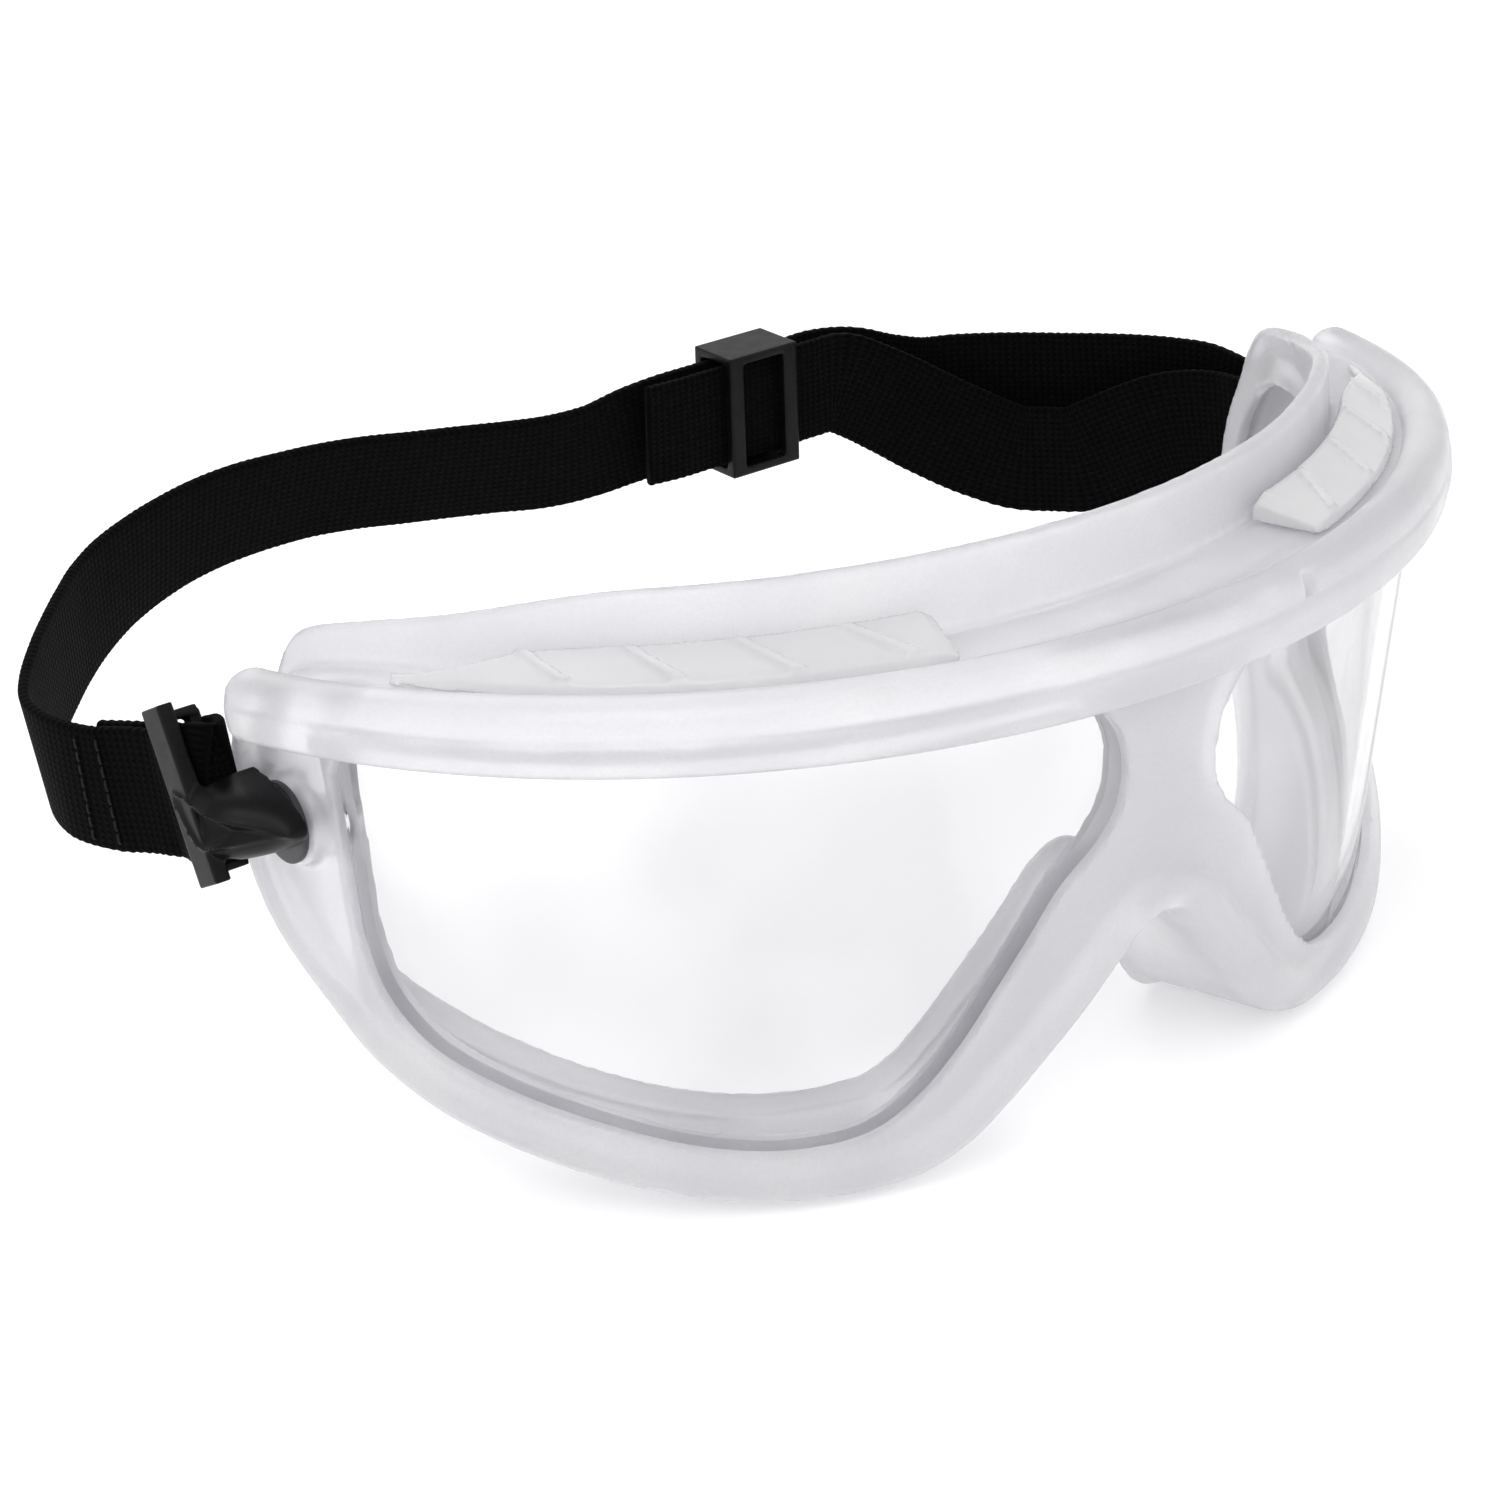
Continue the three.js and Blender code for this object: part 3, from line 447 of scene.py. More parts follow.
def cover_rib(s):
    rows = []
    for t in spread(0, 1, 8):
        at = s + lerp(-RIB_SLANT, RIB_SLANT, t)
        depth, high = lerp(7.2, cover_rear(s) - 1.2, t), lerp(2.1, 3.5, t)
        cross = np.array([(-RIB_HALF, 0.5), (0.4 - RIB_HALF, high), (RIB_HALF - 0.4, high), (RIB_HALF, 0.5)])
        rows.append(wrap(at + cross[:, 0], deck_level(at) + COVER_GAP + cross[:, 1], depth))
    return skin(np.array(rows))


def vent_cover():
    columns = catmull([(c, 0) for c in (COVER_START, 29, 36, 46, 56, 66, 76, 84, 89, COVER_END)], 6)[:, 0]
    sections = []
    for s in columns:
        end = smoothstep(s, 76, COVER_END)
        front, rear = lerp(6.5, 6.9, end), cover_rear(s)
        rise = lerp(1, 0.35, end) * lerp(0.72, 1, smoothstep(s, COVER_START, 29))
        cross = np.array(
            [(front, 0), (front + 0.4, 1.3 * rise), (rear - 0.5, 3.1 * rise), (rear, 2.3 * rise), (rear, 0)]
        )
        sections.append(wrap(s, deck_level(s) + COVER_GAP + cross[:, 1], cross[:, 0]))
    return [skin(np.array(sections)), *(cover_rib(s) for s in COVER_RIBS)]


HOOD_OUTLINE = [
    (7.6, 5.6), (3, 5.3), (-1.2, 4.7), (-4.2, 3.6), (-6, 2.3), (-6.4, 1.4), (-5.6, 0.2), (-2.8, -1.7),
    (0.4, -3.1), (3, -4.1),
]


def at_loop(part):
    """Leans a part of the clip's loop about the middle of the inner bar and sets it behind the pivot."""
    return moved(part, -BAR_LEAN, (0, BAR_REACH, BAR_RISE))


def clip_hood():
    a, b = catmull(HOOD_OUTLINE, 5, closed=True).T
    along = smoothstep(a, -7, 1.5)
    outer = lerp(HOOD_SEAT + 2.4, BAR_OUT + 0.5, along)
    rows = []
    for t in spread(0, 1, 14):
        size = lerp(max(0.12, (1 - t**3) ** 0.75), max(0.5, (1 - t**5) ** 0.6), along)
        rows.append(np.stack([lerp(HOOD_SEAT, outer, t), a, lerp(HOOD_CREST, b, size)], -1))
    hood = make("hood", *skin(np.array(rows)))
    front = LOOP_TURN - LAYER_OFFSET - STRAP_THICKNESS / 2 - CLEARANCE - BAR_REACH
    boolean(hood, at_loop(box_part((20, 20, 30), (BAR_IN - 10, front + 10, 0))))
    return mesh_part(hood)


def strap_clip():
    """Parts of the left strap clip: a hood over the pivot, two bars, two bridges and a peg."""
    loop = [
        box_part((BAR_OUT - BAR_IN, BAR_DEPTH, BAR_LENGTH), ((BAR_IN + BAR_OUT) / 2, 0, 0)),
        box_part((INNER_BAR, INNER_BAR_DEPTH, 2 * BRIDGE_AT), (STRAP_LINE, 0, 0)),
    ]
    for end in (-1, 1):
        place = ((BAR_OUT + STRAP_LINE) / 2 - 0.4, 0, end * BRIDGE_AT)
        loop.append(box_part((BAR_OUT - STRAP_LINE, INNER_BAR_DEPTH + 0.2, BRIDGE), place))
    peg = rod(PEG_RADIUS, BOSS_BACK - CAP_THICKNESS - 1.2, HOOD_SEAT + 1, 0, 0)
    parts = [clip_hood(), *(at_loop(part) for part in loop), peg]
    return [moved(part, at=(0, PIVOT_Y, PIVOT_Z)) for part in parts]


def washer(radius, bore, x0, x1, edge=0.22):
    turn = np.linspace(0, math.pi / 2, 6)
    inset, lift = edge * (1 - np.cos(turn)), edge * (1 - np.sin(turn))
    near = [(radius - u, x0 + v) for u, v in zip(inset[::-1], lift[::-1])]
    far = [(radius - u, x1 - v) for u, v in zip(inset, lift)]
    inner = [(bore + 0.1, x1), (bore, x1 - 0.1), (bore, x0 + 0.1), (bore + 0.1, x0)]
    return moved(lathe(near + far + inner), at=(0, PIVOT_Y, PIVOT_Z))


# ---------------------------------------------------------------- headband

# Plan line from abreast the right pivot round the back to abreast the left one, straight beside the buckle.
BUCKLE_LINE, BUCKLE_STATION, BAND_PER = 121.4, 15, 80
BAND_LINE = [
    (-STRAP_LINE, PIVOT_Y), (-STRAP_LINE, 68), (-STRAP_LINE, 74), (-83.4, 80), (-86.4, 87), (-86.8, 94.5),
    (-82.4, 103), (-74, 113.5), (-63, 123.5), (-47.5, 130.5), (-29, 132.3), (-10, 128.3), (6, 123.4),
    (18, BUCKLE_LINE), (25, BUCKLE_LINE), (32, BUCKLE_LINE), (39, BUCKLE_LINE), (46, BUCKLE_LINE),
    (57, 118.6), (66.5, 112), (74.5, 101.5), (80.2, 88), (STRAP_LINE, 76), (STRAP_LINE, 68),
    (STRAP_LINE, PIVOT_Y),
]
BAND = catmull(BAND_LINE, BAND_PER)
BAND_STEPS = np.concatenate([[0], np.cumsum(np.linalg.norm(np.diff(BAND, axis=0), axis=1))])
BAND_LENGTH = BAND_STEPS[-1]
BUCKLE_AT = BAND_STEPS[BUCKLE_STATION * BAND_PER]


def band_at(p):
    return np.array([np.interp(p, BAND_STEPS, BAND[:, k]) for k in (0, 1)])


def band_along(p):
    p = np.clip(p, 0, BAND_LENGTH)
    step = band_at(min(p + 0.3, BAND_LENGTH)) - band_at(max(p - 0.3, 0))
    return step / np.linalg.norm(step)


def band_point(p, q):
    """Point at a distance p along the plan line and q outward from it."""
    x, y = band_at(p)
    along = band_along(p)
    return np.array([x - along[1] * q, y + along[0] * q])


def clip_level(back):
    """Level of the middle of the webbing beside a clip, at a distance back from the pivot."""
    return PIVOT_Z + BAR_RISE - math.tan(BAR_LEAN) * (back - BAR_REACH)


# Levels of the middle of the webbing along the outer run and the return run, and its outward lean in degrees.
CLIP_RUN, BUCKLE_LEVEL = 13, 46.2
FAR_CLIP = (BAND_LENGTH - CLIP_RUN, clip_level(CLIP_RUN))
OUTER_KNOTS = [
    (CLIP_RUN, clip_level(CLIP_RUN)), (28, 40.7), (38, 41.1), (50, 42.4), (66, 43.8), (82, 45.3), (98, 46.3),
    (110, 46.1), (126, 44.9), (142, 44.2), (BUCKLE_AT - 13, BUCKLE_LEVEL), (BUCKLE_AT + 13, BUCKLE_LEVEL),
    (BUCKLE_AT + 28, 42), (BUCKLE_AT + 44, 42.4), (BUCKLE_AT + 58, 43.5), (BUCKLE_AT + 67, 44), FAR_CLIP,
]
RETURN_KNOTS = [
    (BUCKLE_AT + 13, BUCKLE_LEVEL), (BUCKLE_AT + 22, 41.9), (BUCKLE_AT + 32, 36.6), (BUCKLE_AT + 42, 33.4),
    (BUCKLE_AT + 49, 33.8), (BUCKLE_AT + 58, 38), (BUCKLE_AT + 66, 41), FAR_CLIP,
]
ROLL_KNOTS = [
    (18, 0), (28, 3), (38, 9), (52, 2), (68, 0), (82, -9), (96, -16), (110, -21), (134, -21), (146, -15),
    (BUCKLE_AT - 14, 0),
]


def smoothed(knots, p):
    """Smooth curve through (place, value) knots that never passes beyond them."""
    at, value = np.array(knots, float).T
    if p <= at[0] or p >= at[-1]:
        return value[0] if p <= at[0] else value[-1]
    slope = np.concatenate([[0], np.diff(value) / np.diff(at), [0]])
    k = int(np.searchsorted(at, p))
    width, rise = at[k] - at[k - 1], value[k] - value[k - 1]

    def gentle(a, b):
        return 2 * a * b / (a + b) * width if a * b > 0 else 0

    m0, m1 = gentle(slope[k - 1], slope[k]), gentle(slope[k], slope[k + 1])
    t = (p - at[k - 1]) / width
    return value[k - 1] + m0 * t + (3 * rise - 2 * m0 - m1) * t**2 + (m0 + m1 - 2 * rise) * t**3


def level_at(knots, p):
    back = min(p, BAND_LENGTH - p)
    return clip_level(back) if back < CLIP_RUN else smoothed(knots, p)


def strap_stations():
    """Centres of the webbing along the right loop, outer run, left loop and return run: (p, q, level)."""
    rows = []

    def put(p, q, knots, level_from=None):
        rows.append((p, q, level_at(knots, p if level_from is None else level_from)))

    near = (24, 21, 18, 15, 12.5, 10, 7, LOOP_TURN)
    far = [BAND_LENGTH - back for back in (16, 12.5, 10, 7, LOOP_TURN)]
    opening, far_end = BUCKLE_AT - 18, BAND_LENGTH - 20
    turns = [math.pi * t for t in (0.2, 0.4, 0.6, 0.8)]
    apart = {p: lerp(LAYER_OFFSET, LAYER_HALF, smoothstep(p, 10.5, 17)) for p in near}
    for p in near:
        put(p, -apart[p], OUTER_KNOTS)
    for turn in turns:
        put(LOOP_TURN - LAYER_OFFSET * math.sin(turn), -LAYER_OFFSET * math.cos(turn), OUTER_KNOTS, LOOP_TURN)
    for p in near[::-1]:
        put(p, apart[p], OUTER_KNOTS)
    for p in spread(30, opening, 20):
        put(p, lerp(LAYER_HALF, LOOSE_HALF, smoothstep(p, 30, opening)), OUTER_KNOTS)
    for p in spread(opening, far_end, 18)[1:]:
        put(p, LOOSE_HALF, OUTER_KNOTS)
    for p in far:
        put(p, LAYER_OFFSET, OUTER_KNOTS)
    for turn in turns:
        put(far[-1] + LAYER_OFFSET * math.sin(turn), LAYER_OFFSET * math.cos(turn), OUTER_KNOTS, far[-1])
    for p in far[::-1]:
        put(p, -LAYER_OFFSET, RETURN_KNOTS)
    for p in spread(far_end, BUCKLE_AT - TAIL_LENGTH, 20):
        sag = smoothstep(p, BUCKLE_AT + 16, BUCKLE_AT + 34) * (1 - smoothstep(p, far_end - 14, far_end))
        put(p, -LOOSE_HALF - TAIL_SAG * sag, RETURN_KNOTS)
    return rows


def band_up(p):
    """Direction from the lower to the upper edge of the webbing, which leans with the clip at each end."""
    near = 1 - smoothstep(p, 12, 38)
    far = smoothstep(p, BAND_LENGTH - 38, BAND_LENGTH - 12)
    lean = math.tan(BAR_LEAN * (near - far))
    roll = math.tan(math.radians(smoothed(ROLL_KNOTS, p)))
    x, y = band_along(p)
    up = np.array([x * lean - y * roll, y * lean + x * roll, 1])
    return up / np.linalg.norm(up)


def half_width(p):
    """Half the width of the webbing, which is drawn in where it passes through the adjuster."""
    return STRAP_WIDTH / 2 * (1 - STRAP_PINCH * (1 - smoothstep(np.abs(p - BUCKLE_AT), 14, 32)))


def strap_lines(per=12):
    """Centres, up and outward directions and running length of the webbing, finely spaced."""
    rows = strap_stations()
    centres = catmull([(*band_point(p, q), level) for p, q, level in rows], per)
    coarse = np.array([band_up(p) for p, q, level in rows])
    at = np.linspace(0, len(rows) - 1, len(centres))
    up = np.stack([np.interp(at, np.arange(len(rows)), coarse[:, k]) for k in range(3)], -1)
    tangent = np.gradient(centres, axis=0)
    tangent /= np.linalg.norm(tangent, axis=1)[:, None]
    out = np.cross(up, tangent)
    out /= np.linalg.norm(out, axis=1)[:, None]
    up = np.cross(tangent, out)
    run = np.concatenate([[0], np.cumsum(np.linalg.norm(np.diff(centres, axis=0), axis=1))])
    pinch = np.interp(at, np.arange(len(rows)), [half_width(row[0]) for row in rows]) / (STRAP_WIDTH / 2)
    return centres, up, out, run, pinch


# The webbing's round edge and crowned faces, the scallops along its edges, and its slow ripple.
EDGE_ROUND, EDGE_FADE, CAMBER = 0.42, 0.8, 0.05
SCALLOP, SCALLOP_PITCH, RIPPLE, RIPPLE_PITCH = 0.07, 1.15, 0.1, 47


def webbing_profile():
    """Cross-section of the webbing as (across, through) points, with rounded edges."""
    across, through = STRAP_WIDTH / 2 - EDGE_ROUND, STRAP_THICKNESS / 2 - EDGE_ROUND
    arc = np.linspace(0, math.pi / 2, 5)
    flat = np.linspace(-across, across, 13)[1:-1]
    quarter = np.stack([across + EDGE_ROUND * np.sin(arc), through + EDGE_ROUND * np.cos(arc)], -1)
    top = np.concatenate([quarter, (quarter * [1, -1])[::-1]])
    low = np.concatenate([(quarter * [-1, -1]), (quarter * [-1, 1])[::-1]])
    outer = np.stack([flat, np.full(len(flat), STRAP_THICKNESS / 2)], -1)
    inner = np.stack([flat[::-1], np.full(len(flat), -STRAP_THICKNESS / 2)], -1)
    return np.concatenate([outer, top, inner, low])


def weave_map(obj, run, across):
    """Maps the webbing by its running length and width in mm, for the weave material."""
    place = np.stack([np.repeat(run, across.shape[1]), across.ravel()], -1)
    place = np.concatenate([place, [(0, 0), (run[-1], 0)]])
    layer = obj.data.uv_layers.new(name="weave")
    corners = np.zeros(len(obj.data.loops), int)
    obj.data.loops.foreach_get("vertex_index", corners)
    layer.data.foreach_set("uv", place[corners].ravel())


def head_strap():
    centres, up, out, run, pinch = strap_lines()
    profile, half = webbing_profile(), STRAP_WIDTH / 2
    across, face = profile[:, 0][None, :], np.sign(profile[:, 1])[None, :]
    scallop = SCALLOP * np.sin(run * 2 * math.pi / SCALLOP_PITCH)[:, None]
    edge = np.sign(across) * smoothstep(np.abs(across), half - EDGE_FADE, half)
    across = across + edge * scallop - 0.08 * edge
    camber = CAMBER * np.cos(across / half * math.pi / 2) * face
    ripple = RIPPLE * np.sin(run * 2 * math.pi / RIPPLE_PITCH)[:, None] * (across / half) ** 2
    calm = smoothstep(run, 45, 70) * (1 - smoothstep(run, run[-1] * 0.5, run[-1] * 0.55))
    through = profile[:, 1][None, :] + camber - CAMBER * face + ripple * calm[:, None]
    raised = across * pinch[:, None]
    points = centres[:, None, :] + up[:, None, :] * raised[..., None] + out[:, None, :] * through[..., None]
    obj = make("headband_webbing", *skin(points))
    weave_map(obj, run, across)
    return shade(obj)


# The seam's two rows past the end of the loop, then half a stitch's length, its rise and the thread.
SEAM_ROWS, STITCH_HALF, STITCH_RISE, THREAD_RADIUS = (15.2, 18.4), 0.62, 0.16, 0.17


def stitches():
    """Thread of the box seam that closes the loop of webbing on the right clip."""
    parts = []
    centres, up, out, run, _ = strap_lines()
    loop_end = 22 + LAYER_OFFSET * math.pi
    turn = np.linspace(0, math.pi, 9)[:, None]
    for row in SEAM_ROWS:
        k = int(np.searchsorted(run, loop_end + row))
        for level in np.arange(-5.6, 5.7, 1.6):
            middle = centres[k] + up[k] * level + out[k] * (STRAP_THICKNESS / 2 + 0.02)
            thread = middle + up[k] * STITCH_HALF * np.cos(turn) + out[k] * STITCH_RISE * np.sin(turn)
            parts.append(tube(thread, THREAD_RADIUS))
    return shade(make("seam_thread", *joined(parts)))


def tube(line, radius, around=10):
    tangent = np.gradient(line, axis=0)
    tangent /= np.linalg.norm(tangent, axis=1)[:, None]
    side = np.cross(tangent, [0.3, 0.1, 0.95])
    side /= np.linalg.norm(side, axis=1)[:, None]
    other = np.cross(tangent, side)
    angle = np.linspace(0, 2 * math.pi, around, endpoint=False)[None, :, None]
    ring = line[:, None, :] + radius * (side[:, None, :] * np.cos(angle) + other[:, None, :] * np.sin(angle))
    return skin(ring)


def slide_adjuster():
    """Two rails joined by outer end rungs, a centre rung between the runs and inner end rungs."""
    reach = LOOSE_HALF + STRAP_THICKNESS / 2 + CLEARANCE
    inside = float(half_width(BUCKLE_AT)) + CLEARANCE
    across, tall = 2 * (reach + ADJUSTER_RUNG), 2 * inside + 1
    parts = [box_part((2.4, 1.2, tall))]
    for side in (-1, 1):
        level = side * (inside + ADJUSTER_RAIL / 2)
        parts.append(box_part((ADJUSTER_LENGTH, across, ADJUSTER_RAIL), (0, 0, level)))
        for face in (-1, 1):
            place = (side * (ADJUSTER_LENGTH / 2 - 1.1), face * (reach + ADJUSTER_RUNG / 2), 0)
            parts.append(box_part((2.2, ADJUSTER_RUNG, tall), place))
    along = band_along(BUCKLE_AT)
    at = (*band_point(BUCKLE_AT, 0), BUCKLE_LEVEL)
    return [moved(part, math.atan2(along[1], along[0]), at, "Z") for part in parts]


# ---------------------------------------------------------------- materials


class Shader:
    """A material with a Principled shader and short ways to add nodes to it."""

    def __init__(self, name, **values):
        self.material = bpy.data.materials.new(name)
        self.material.use_nodes = True
        self.tree = self.material.node_tree
        self.bsdf = self.tree.nodes["Principled BSDF"]
        for key, value in values.items():
            self.bsdf.inputs[key.replace("_", " ")].default_value = value
        self.place = self.add("ShaderNodeTexCoord")

    def add(self, kind, inputs=(), **values):
        node = self.tree.nodes.new(kind)
        for key, value in values.items():
            setattr(node, key, value)
        for key, value in dict(inputs).items():
            if isinstance(value, bpy.types.NodeSocket):
                self.tree.links.new(value, node.inputs[key])
            else:
                node.inputs[key].default_value = value
        return node

    def noise(self, scale, detail=2, coordinates="Object"):
        return self.add(
            "ShaderNodeTexNoise",
            {"Vector": self.place.outputs[coordinates], "Scale": scale, "Detail": detail},
        ).outputs["Fac"]

    def math(self, operation, a, b=0.0):
        return self.add("ShaderNodeMath", {0: a, 1: b}, operation=operation).outputs[0]

    def span(self, value, low, high, to_low, to_high):
        inputs = {"Value": value, "From Min": low, "From Max": high, "To Min": to_low, "To Max": to_high}
        return self.add("ShaderNodeMapRange", inputs).outputs["Result"]

    def ramp(self, value, stops):
        node = self.add("ShaderNodeValToRGB", {"Fac": value})
        for k, (at, colour) in enumerate(stops):
            element = node.color_ramp.elements[k] if k < 2 else node.color_ramp.elements.new(at)
            element.position = at
            element.color = (*colour, 1)
        return node.outputs["Color"]

    def bump(self, height, distance, strength=1.0, onto=None):
        inputs = {"Height": height, "Distance": distance, "Strength": strength}
        if onto is not None:
            inputs["Normal"] = onto
        return self.add("ShaderNodeBump", inputs).outputs["Normal"]

    def mottle(self, scale, detail, dark, light):
        """Base colour that drifts between two tones, each given as (noise level, colour)."""
        self.put("Base Color", self.ramp(self.noise(scale, detail), [dark, light]))

    def gloss(self, scale, detail, smooth, rough):
        self.put("Roughness", self.span(self.noise(scale, detail), 0.3, 0.7, smooth, rough))

    def put(self, key, output):
        self.tree.links.new(output, self.bsdf.inputs[key])


def frosted_vinyl():
    """Milky translucent vinyl with a fine frosted grain that sparkles a little."""
    m = Shader("frosted_vinyl", IOR=1.4, Transmission_Weight=0.6, Coat_Weight=0.3, Coat_Roughness=0.2)
    grain = m.math("MULTIPLY", m.noise(70, 3), m.span(m.noise(2600, 2), 0.35, 0.65, 0.7, 1.2))
    m.put("Base Color", m.ramp(grain, [(0.2, (0.89, 0.888, 0.925)), (0.72, (0.978, 0.976, 0.992))]))
    m.gloss(240, 2, 0.31, 0.43)
    fine = m.bump(m.noise(2600, 2), 0.0001, 0.25)
    m.put("Normal", m.bump(m.noise(420, 2), 0.0003, 0.1, fine))
    return m.material


def clear_vinyl():
    """Glossier clear vinyl of the vent covers and peg caps."""
    m = Shader("clear_vinyl", IOR=1.4, Transmission_Weight=0.4, Coat_Weight=0.4)
    m.mottle(90, 2, (0.3, (0.94, 0.94, 0.958)), (0.7, (0.98, 0.98, 0.99)))
    m.gloss(300, 2, 0.12, 0.24)
    m.put("Normal", m.bump(m.noise(650, 2), 0.0002, 0.12))
    return m.material


def clear_lens():
    """Polished clear sheet with a faint haze, and broad grey and white patches painted into its colour as
    reflections of the soft lights; its low index keeps the view through it straight.
    """
    coat = {"Coat_Weight": 0.6, "Coat_Roughness": 0.03, "Coat_IOR": 1.5}
    m = Shader("clear_lens", IOR=1.12, Transmission_Weight=1.0, **coat)
    # Broad grey and white patches in the base colour: painted reflections of the soft lights on the lens,
    # over a faint grey haze.
    m.mottle(24, 2, (0.38, (0.83, 0.83, 0.842)), (0.6, (0.97, 0.97, 0.975)))
    m.put("Roughness", m.span(m.noise(900, 4), 0.35, 0.75, 0.01, 0.06))
    m.put("Normal", m.bump(m.noise(35, 1), 0.0002, 0.05))
    return m.material


def black_nylon():
    """Satin moulded nylon of the clips and the adjuster."""
    m = Shader("black_nylon", IOR=1.5, Specular_IOR_Level=0.16)
    m.mottle(160, 3, (0.3, (0.002, 0.002, 0.0025)), (0.75, (0.005, 0.005, 0.006)))
    m.gloss(520, 3, 0.3, 0.4)
    fine = m.bump(m.noise(4200, 2), 0.00005, 0.3)
    m.put("Normal", m.bump(m.noise(700, 2), 0.0001, 0.2, fine))
    return m.material


def dark_washer():
    m = Shader("dark_washer", IOR=1.5)
    m.mottle(400, 3, (0.3, (0.02, 0.02, 0.024)), (0.75, (0.05, 0.05, 0.056)))
    m.gloss(800, 3, 0.3, 0.5)
    m.put("Normal", m.bump(m.noise(2500, 2), 0.00008, 0.3))
    return m.material


RIB_PITCH, WARP_PITCH = 0.95, 0.8


def black_webbing():
    """Elastic webbing: cross ribs, lengthwise warp columns and a little fuzz."""
    m = Shader("black_webbing", IOR=1.45, Sheen_Weight=0.02, Sheen_Roughness=0.5, Specular_IOR_Level=0.05)
    m.bsdf.inputs["Sheen Tint"].default_value = (0.5, 0.5, 0.55, 1)
    split = m.add("ShaderNodeSeparateXYZ", {"Vector": m.place.outputs["UV"]})
    along = m.math("MULTIPLY", split.outputs["X"], 2 * math.pi / RIB_PITCH)
    across = m.math("MULTIPLY", split.outputs["Y"], 2 * math.pi / WARP_PITCH)
    warp = m.math("SINE", across)
    cross_rib = m.math("SINE", m.math("ADD", along, warp))
    weave = m.math("ADD", m.math("MULTIPLY", cross_rib, 0.6), m.math("MULTIPLY", warp, 0.4))
    height = m.span(weave, -1, 1, 0, 1)
    fuzz = m.noise(5200, 2)
    tone = m.math("MULTIPLY", height, m.span(fuzz, 0.3, 0.7, 0.75, 1.1))
    m.put("Base Color", m.ramp(tone, [(0.1, (0.0008, 0.0008, 0.001)), (0.9, (0.003, 0.003, 0.0034))]))
    m.put("Roughness", m.span(height, 0, 1, 0.95, 0.8))
    woven = m.bump(height, 0.00012, 0.8)
    m.put("Normal", m.bump(fuzz, 0.00006, 0.4, woven))
    return m.material


def seam_thread():
    m = Shader("seam_thread", IOR=1.45, Specular_IOR_Level=0.25)
    m.mottle(2500, 2, (0.3, (0.002, 0.002, 0.0024)), (0.7, (0.006, 0.006, 0.007)))
    m.gloss(3000, 2, 0.5, 0.7)
    m.put("Normal", m.bump(m.noise(6000, 2), 0.00004, 0.5))
    return m.material


# ---------------------------------------------------------------- assembly


def finish_piece(obj, slot, material, body, *nodes):
    obj.data.materials.clear()
    obj.data.materials.append(material)
    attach(obj, body)
    if nodes:
        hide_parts(*nodes)
    return obj


def build():
    vinyl, lens, vent, nylon = frosted_vinyl(), clear_lens(), clear_vinyl(), black_nylon()
    rubber, webbing, thread = dark_washer(), black_webbing(), seam_thread()
    finish_piece(frame_body(), "frosted_vinyl", vinyl, "frame", "frame_body")
    finish_piece(shade(make("lens_sheet", *lens_part(0, 0.8)), 40), "clear_lens", lens, "frame", "lens")
    cover, clip = vent_cover(), strap_clip()
    seat = BOSS_FACE + CLEARANCE
    disc = washer(WASHER_RADIUS, PEG_RADIUS + CLEARANCE, seat, seat + WASHER_THICKNESS)
    back = BOSS_BACK - CLEARANCE
    cap = washer(CAP_RADIUS, PEG_RADIUS + CLEARANCE, back - CAP_THICKNESS, back, 0.5)
    for side in ("left", "right"):
        turn = (lambda part: part) if side == "left" else mirrored
        rider = f"{side}_clip"
        piece = fused(f"vent_panel_{side}", [turn(p) for p in cover], 0.28, 3)
        finish_piece(shade(piece), "clear_vinyl", vent, "frame", f"vent_cover_{side}")
        piece = fused(f"clip_{side}", [turn(p) for p in clip], 0.2, 3)
        finish_piece(shade(piece), "black_nylon", nylon, rider, f"strap_clip_{side}")
        piece = shade(make(f"washer_{side}", *turn(disc)), 40)
        finish_piece(piece, "dark_washer", rubber, "frame", f"pivot_washer_{side}")
        piece = shade(make(f"cap_{side}", *turn(cap)), 40)
        finish_piece(piece, "clear_vinyl", vent, rider, f"peg_cap_{side}")
    finish_piece(head_strap(), "black_webbing", webbing, "right_clip", "head_strap")
    finish_piece(stitches(), "black_webbing", thread, "right_clip")
    piece = fused("adjuster", slide_adjuster(), 0.2, 3)
    finish_piece(shade(piece), "black_nylon", nylon, "adjuster", "slide_adjuster")


# ---------------------------------------------------------------- studio


FLOOR_REACH, FLOOR_LEVEL = 4000, -1
AIM = (0, 50, 35)
AZIMUTH, ELEVATION, ROLL = (math.radians(a) for a in (-36.93, 25.0, -2.04))
CAMERA_DISTANCE, CAMERA_LENS, SENSOR_WIDTH = 428.6, 94.74, 36
CAMERA_TARGET, CAMERA_SHIFT = (-30.05, 40, 43.46), 0.6


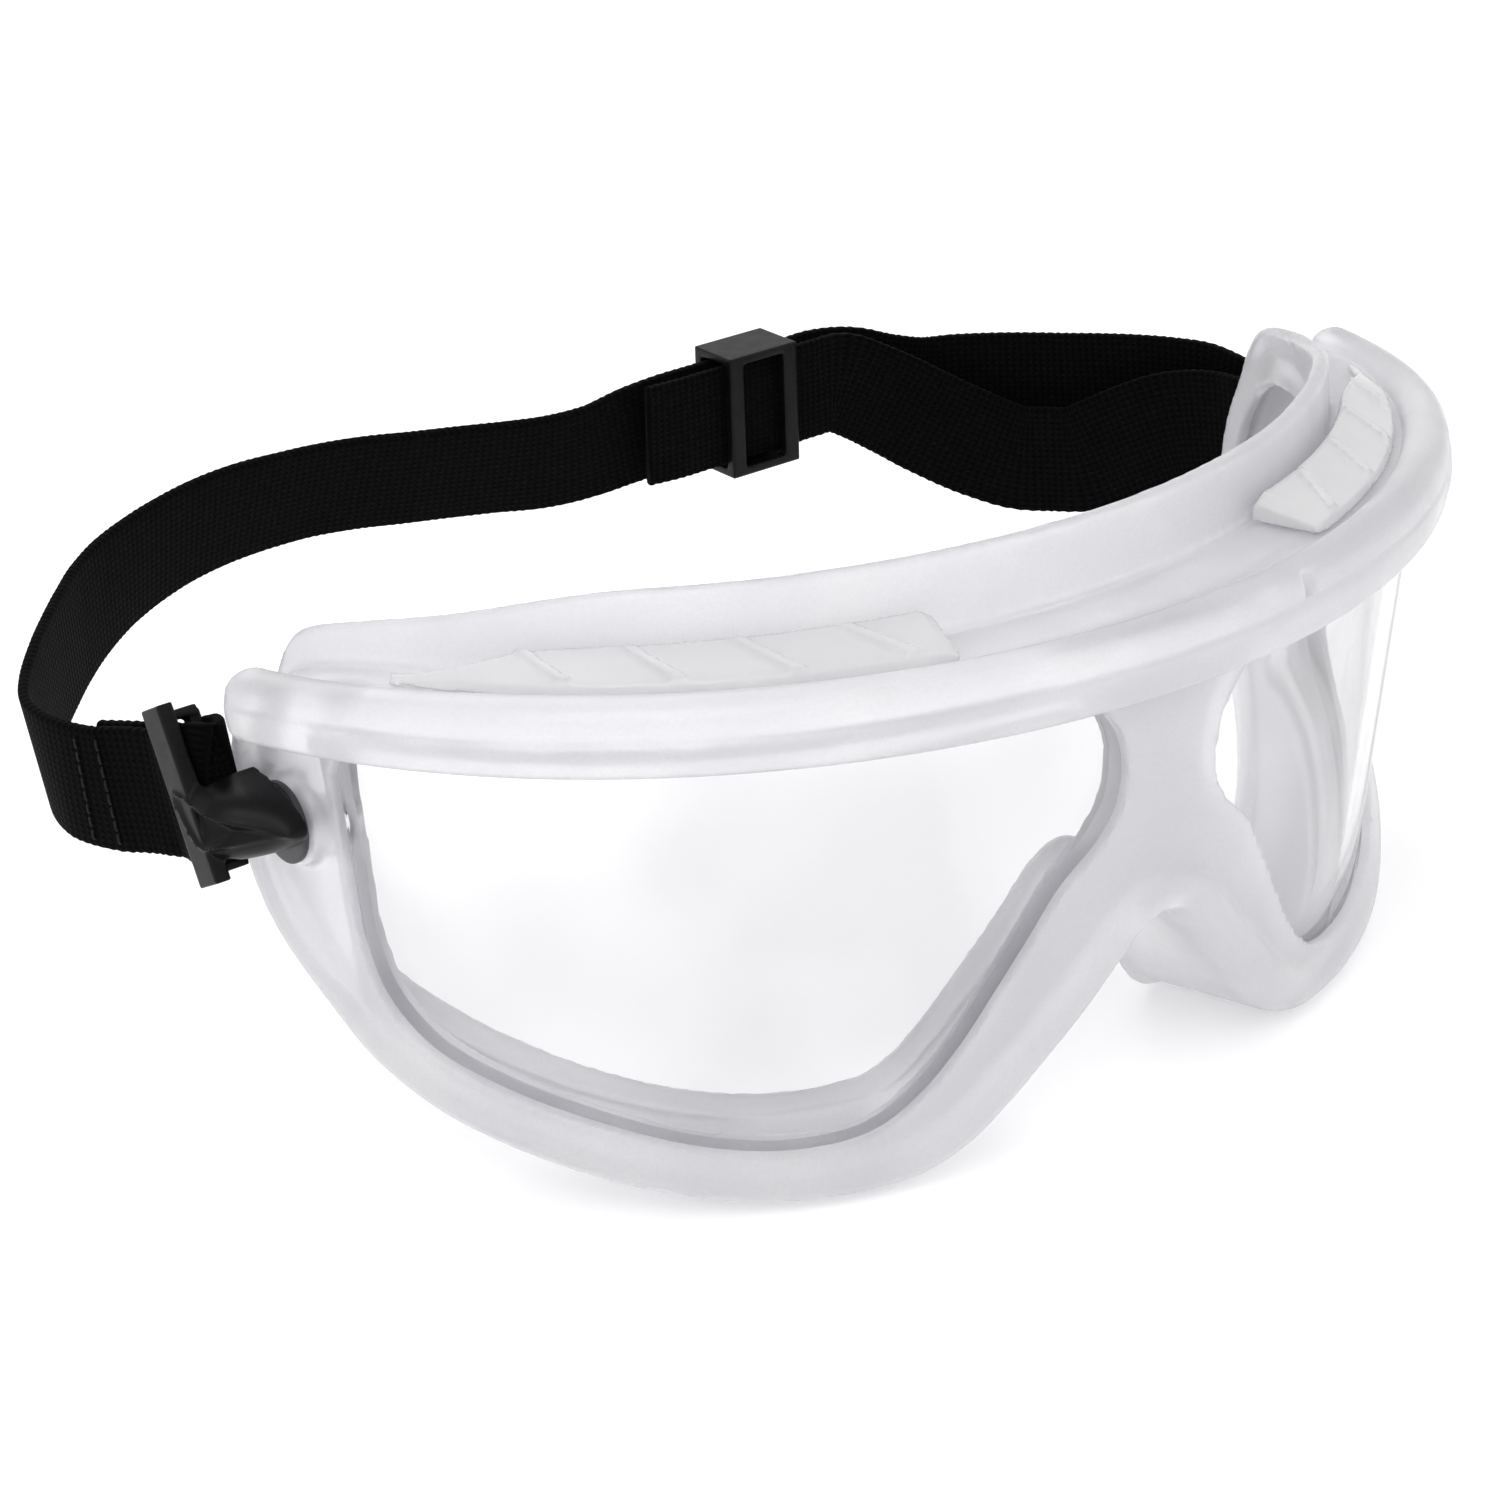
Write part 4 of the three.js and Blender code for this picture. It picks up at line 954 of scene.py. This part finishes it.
def studio():
    world = bpy.data.worlds.new("studio")
    bpy.context.scene.world = world
    world.use_nodes = True
    background = world.node_tree.nodes["Background"]
    background.inputs["Color"].default_value = (1, 1, 1, 1)
    background.inputs["Strength"].default_value = 0.8
    square = ((-1, -1), (1, -1), (1, 1), (-1, 1))
    corners = [(x * FLOOR_REACH, y * FLOOR_REACH, FLOOR_LEVEL) for x, y in square]
    floor = make("floor", corners, [[0, 1, 2, 3]])
    paper = Shader("paper", Specular_IOR_Level=0.0)
    paper.mottle(3, 2, (0.2, (0.95, 0.95, 0.955)), (0.8, (0.97, 0.97, 0.975)))
    paper.bsdf.inputs["Roughness"].default_value = 0.9
    paper.bsdf.inputs["Emission Color"].default_value = (1, 1, 1, 1)
    paper.bsdf.inputs["Emission Strength"].default_value = 0.24
    floor.data.materials.append(paper.material)
    for name, place, size, power in (
        ("key", (-500, -350, 700), 600, 1.7),
        ("fill", (500, -600, 450), 700, 0.8),
        ("back", (100, 700, 600), 600, 1.2),
    ):
        light = bpy.data.lights.new(name, "AREA")
        light.shape = "DISK"
        light.size = size * MM
        light.energy = power
        lamp = bpy.data.objects.new(name, light)
        lamp.location = Vector(place) * MM
        aim = Vector(AIM) * MM - lamp.location
        lamp.rotation_euler = aim.to_track_quat("-Z", "Y").to_euler()
        bpy.context.scene.collection.objects.link(lamp)
    scene = bpy.context.scene
    scene.view_settings.view_transform = "Standard"
    scene.view_settings.look = "None"
    scene.view_settings.exposure = 0
    scene.view_settings.gamma = 1


def camera():
    """Looks slightly down on the goggles from the front right of the wearer's face."""
    flat = math.cos(ELEVATION)
    back = np.array([math.sin(AZIMUTH) * flat, -math.cos(AZIMUTH) * flat, math.sin(ELEVATION)])
    right = np.cross(-back, [0, 0, 1])
    right /= np.linalg.norm(right)
    up = np.cross(back, right)
    right, up = right * math.cos(ROLL) + up * math.sin(ROLL), -right * math.sin(ROLL) + up * math.cos(ROLL)
    target = np.array(CAMERA_TARGET) - right * CAMERA_SHIFT
    data = bpy.data.cameras.new("camera")
    data.sensor_width = SENSOR_WIDTH
    data.lens = CAMERA_LENS
    data.clip_start = 0.01
    data.clip_end = 20
    eye = bpy.data.objects.new("camera", data)
    turn = Matrix(np.stack([right, up, back], -1).tolist()).to_4x4()
    eye.matrix_world = Matrix.Translation(Vector((target + back * CAMERA_DISTANCE).tolist()) * MM) @ turn
    bpy.context.scene.collection.objects.link(eye)
    bpy.context.scene.camera = eye


studio()
camera()
build()
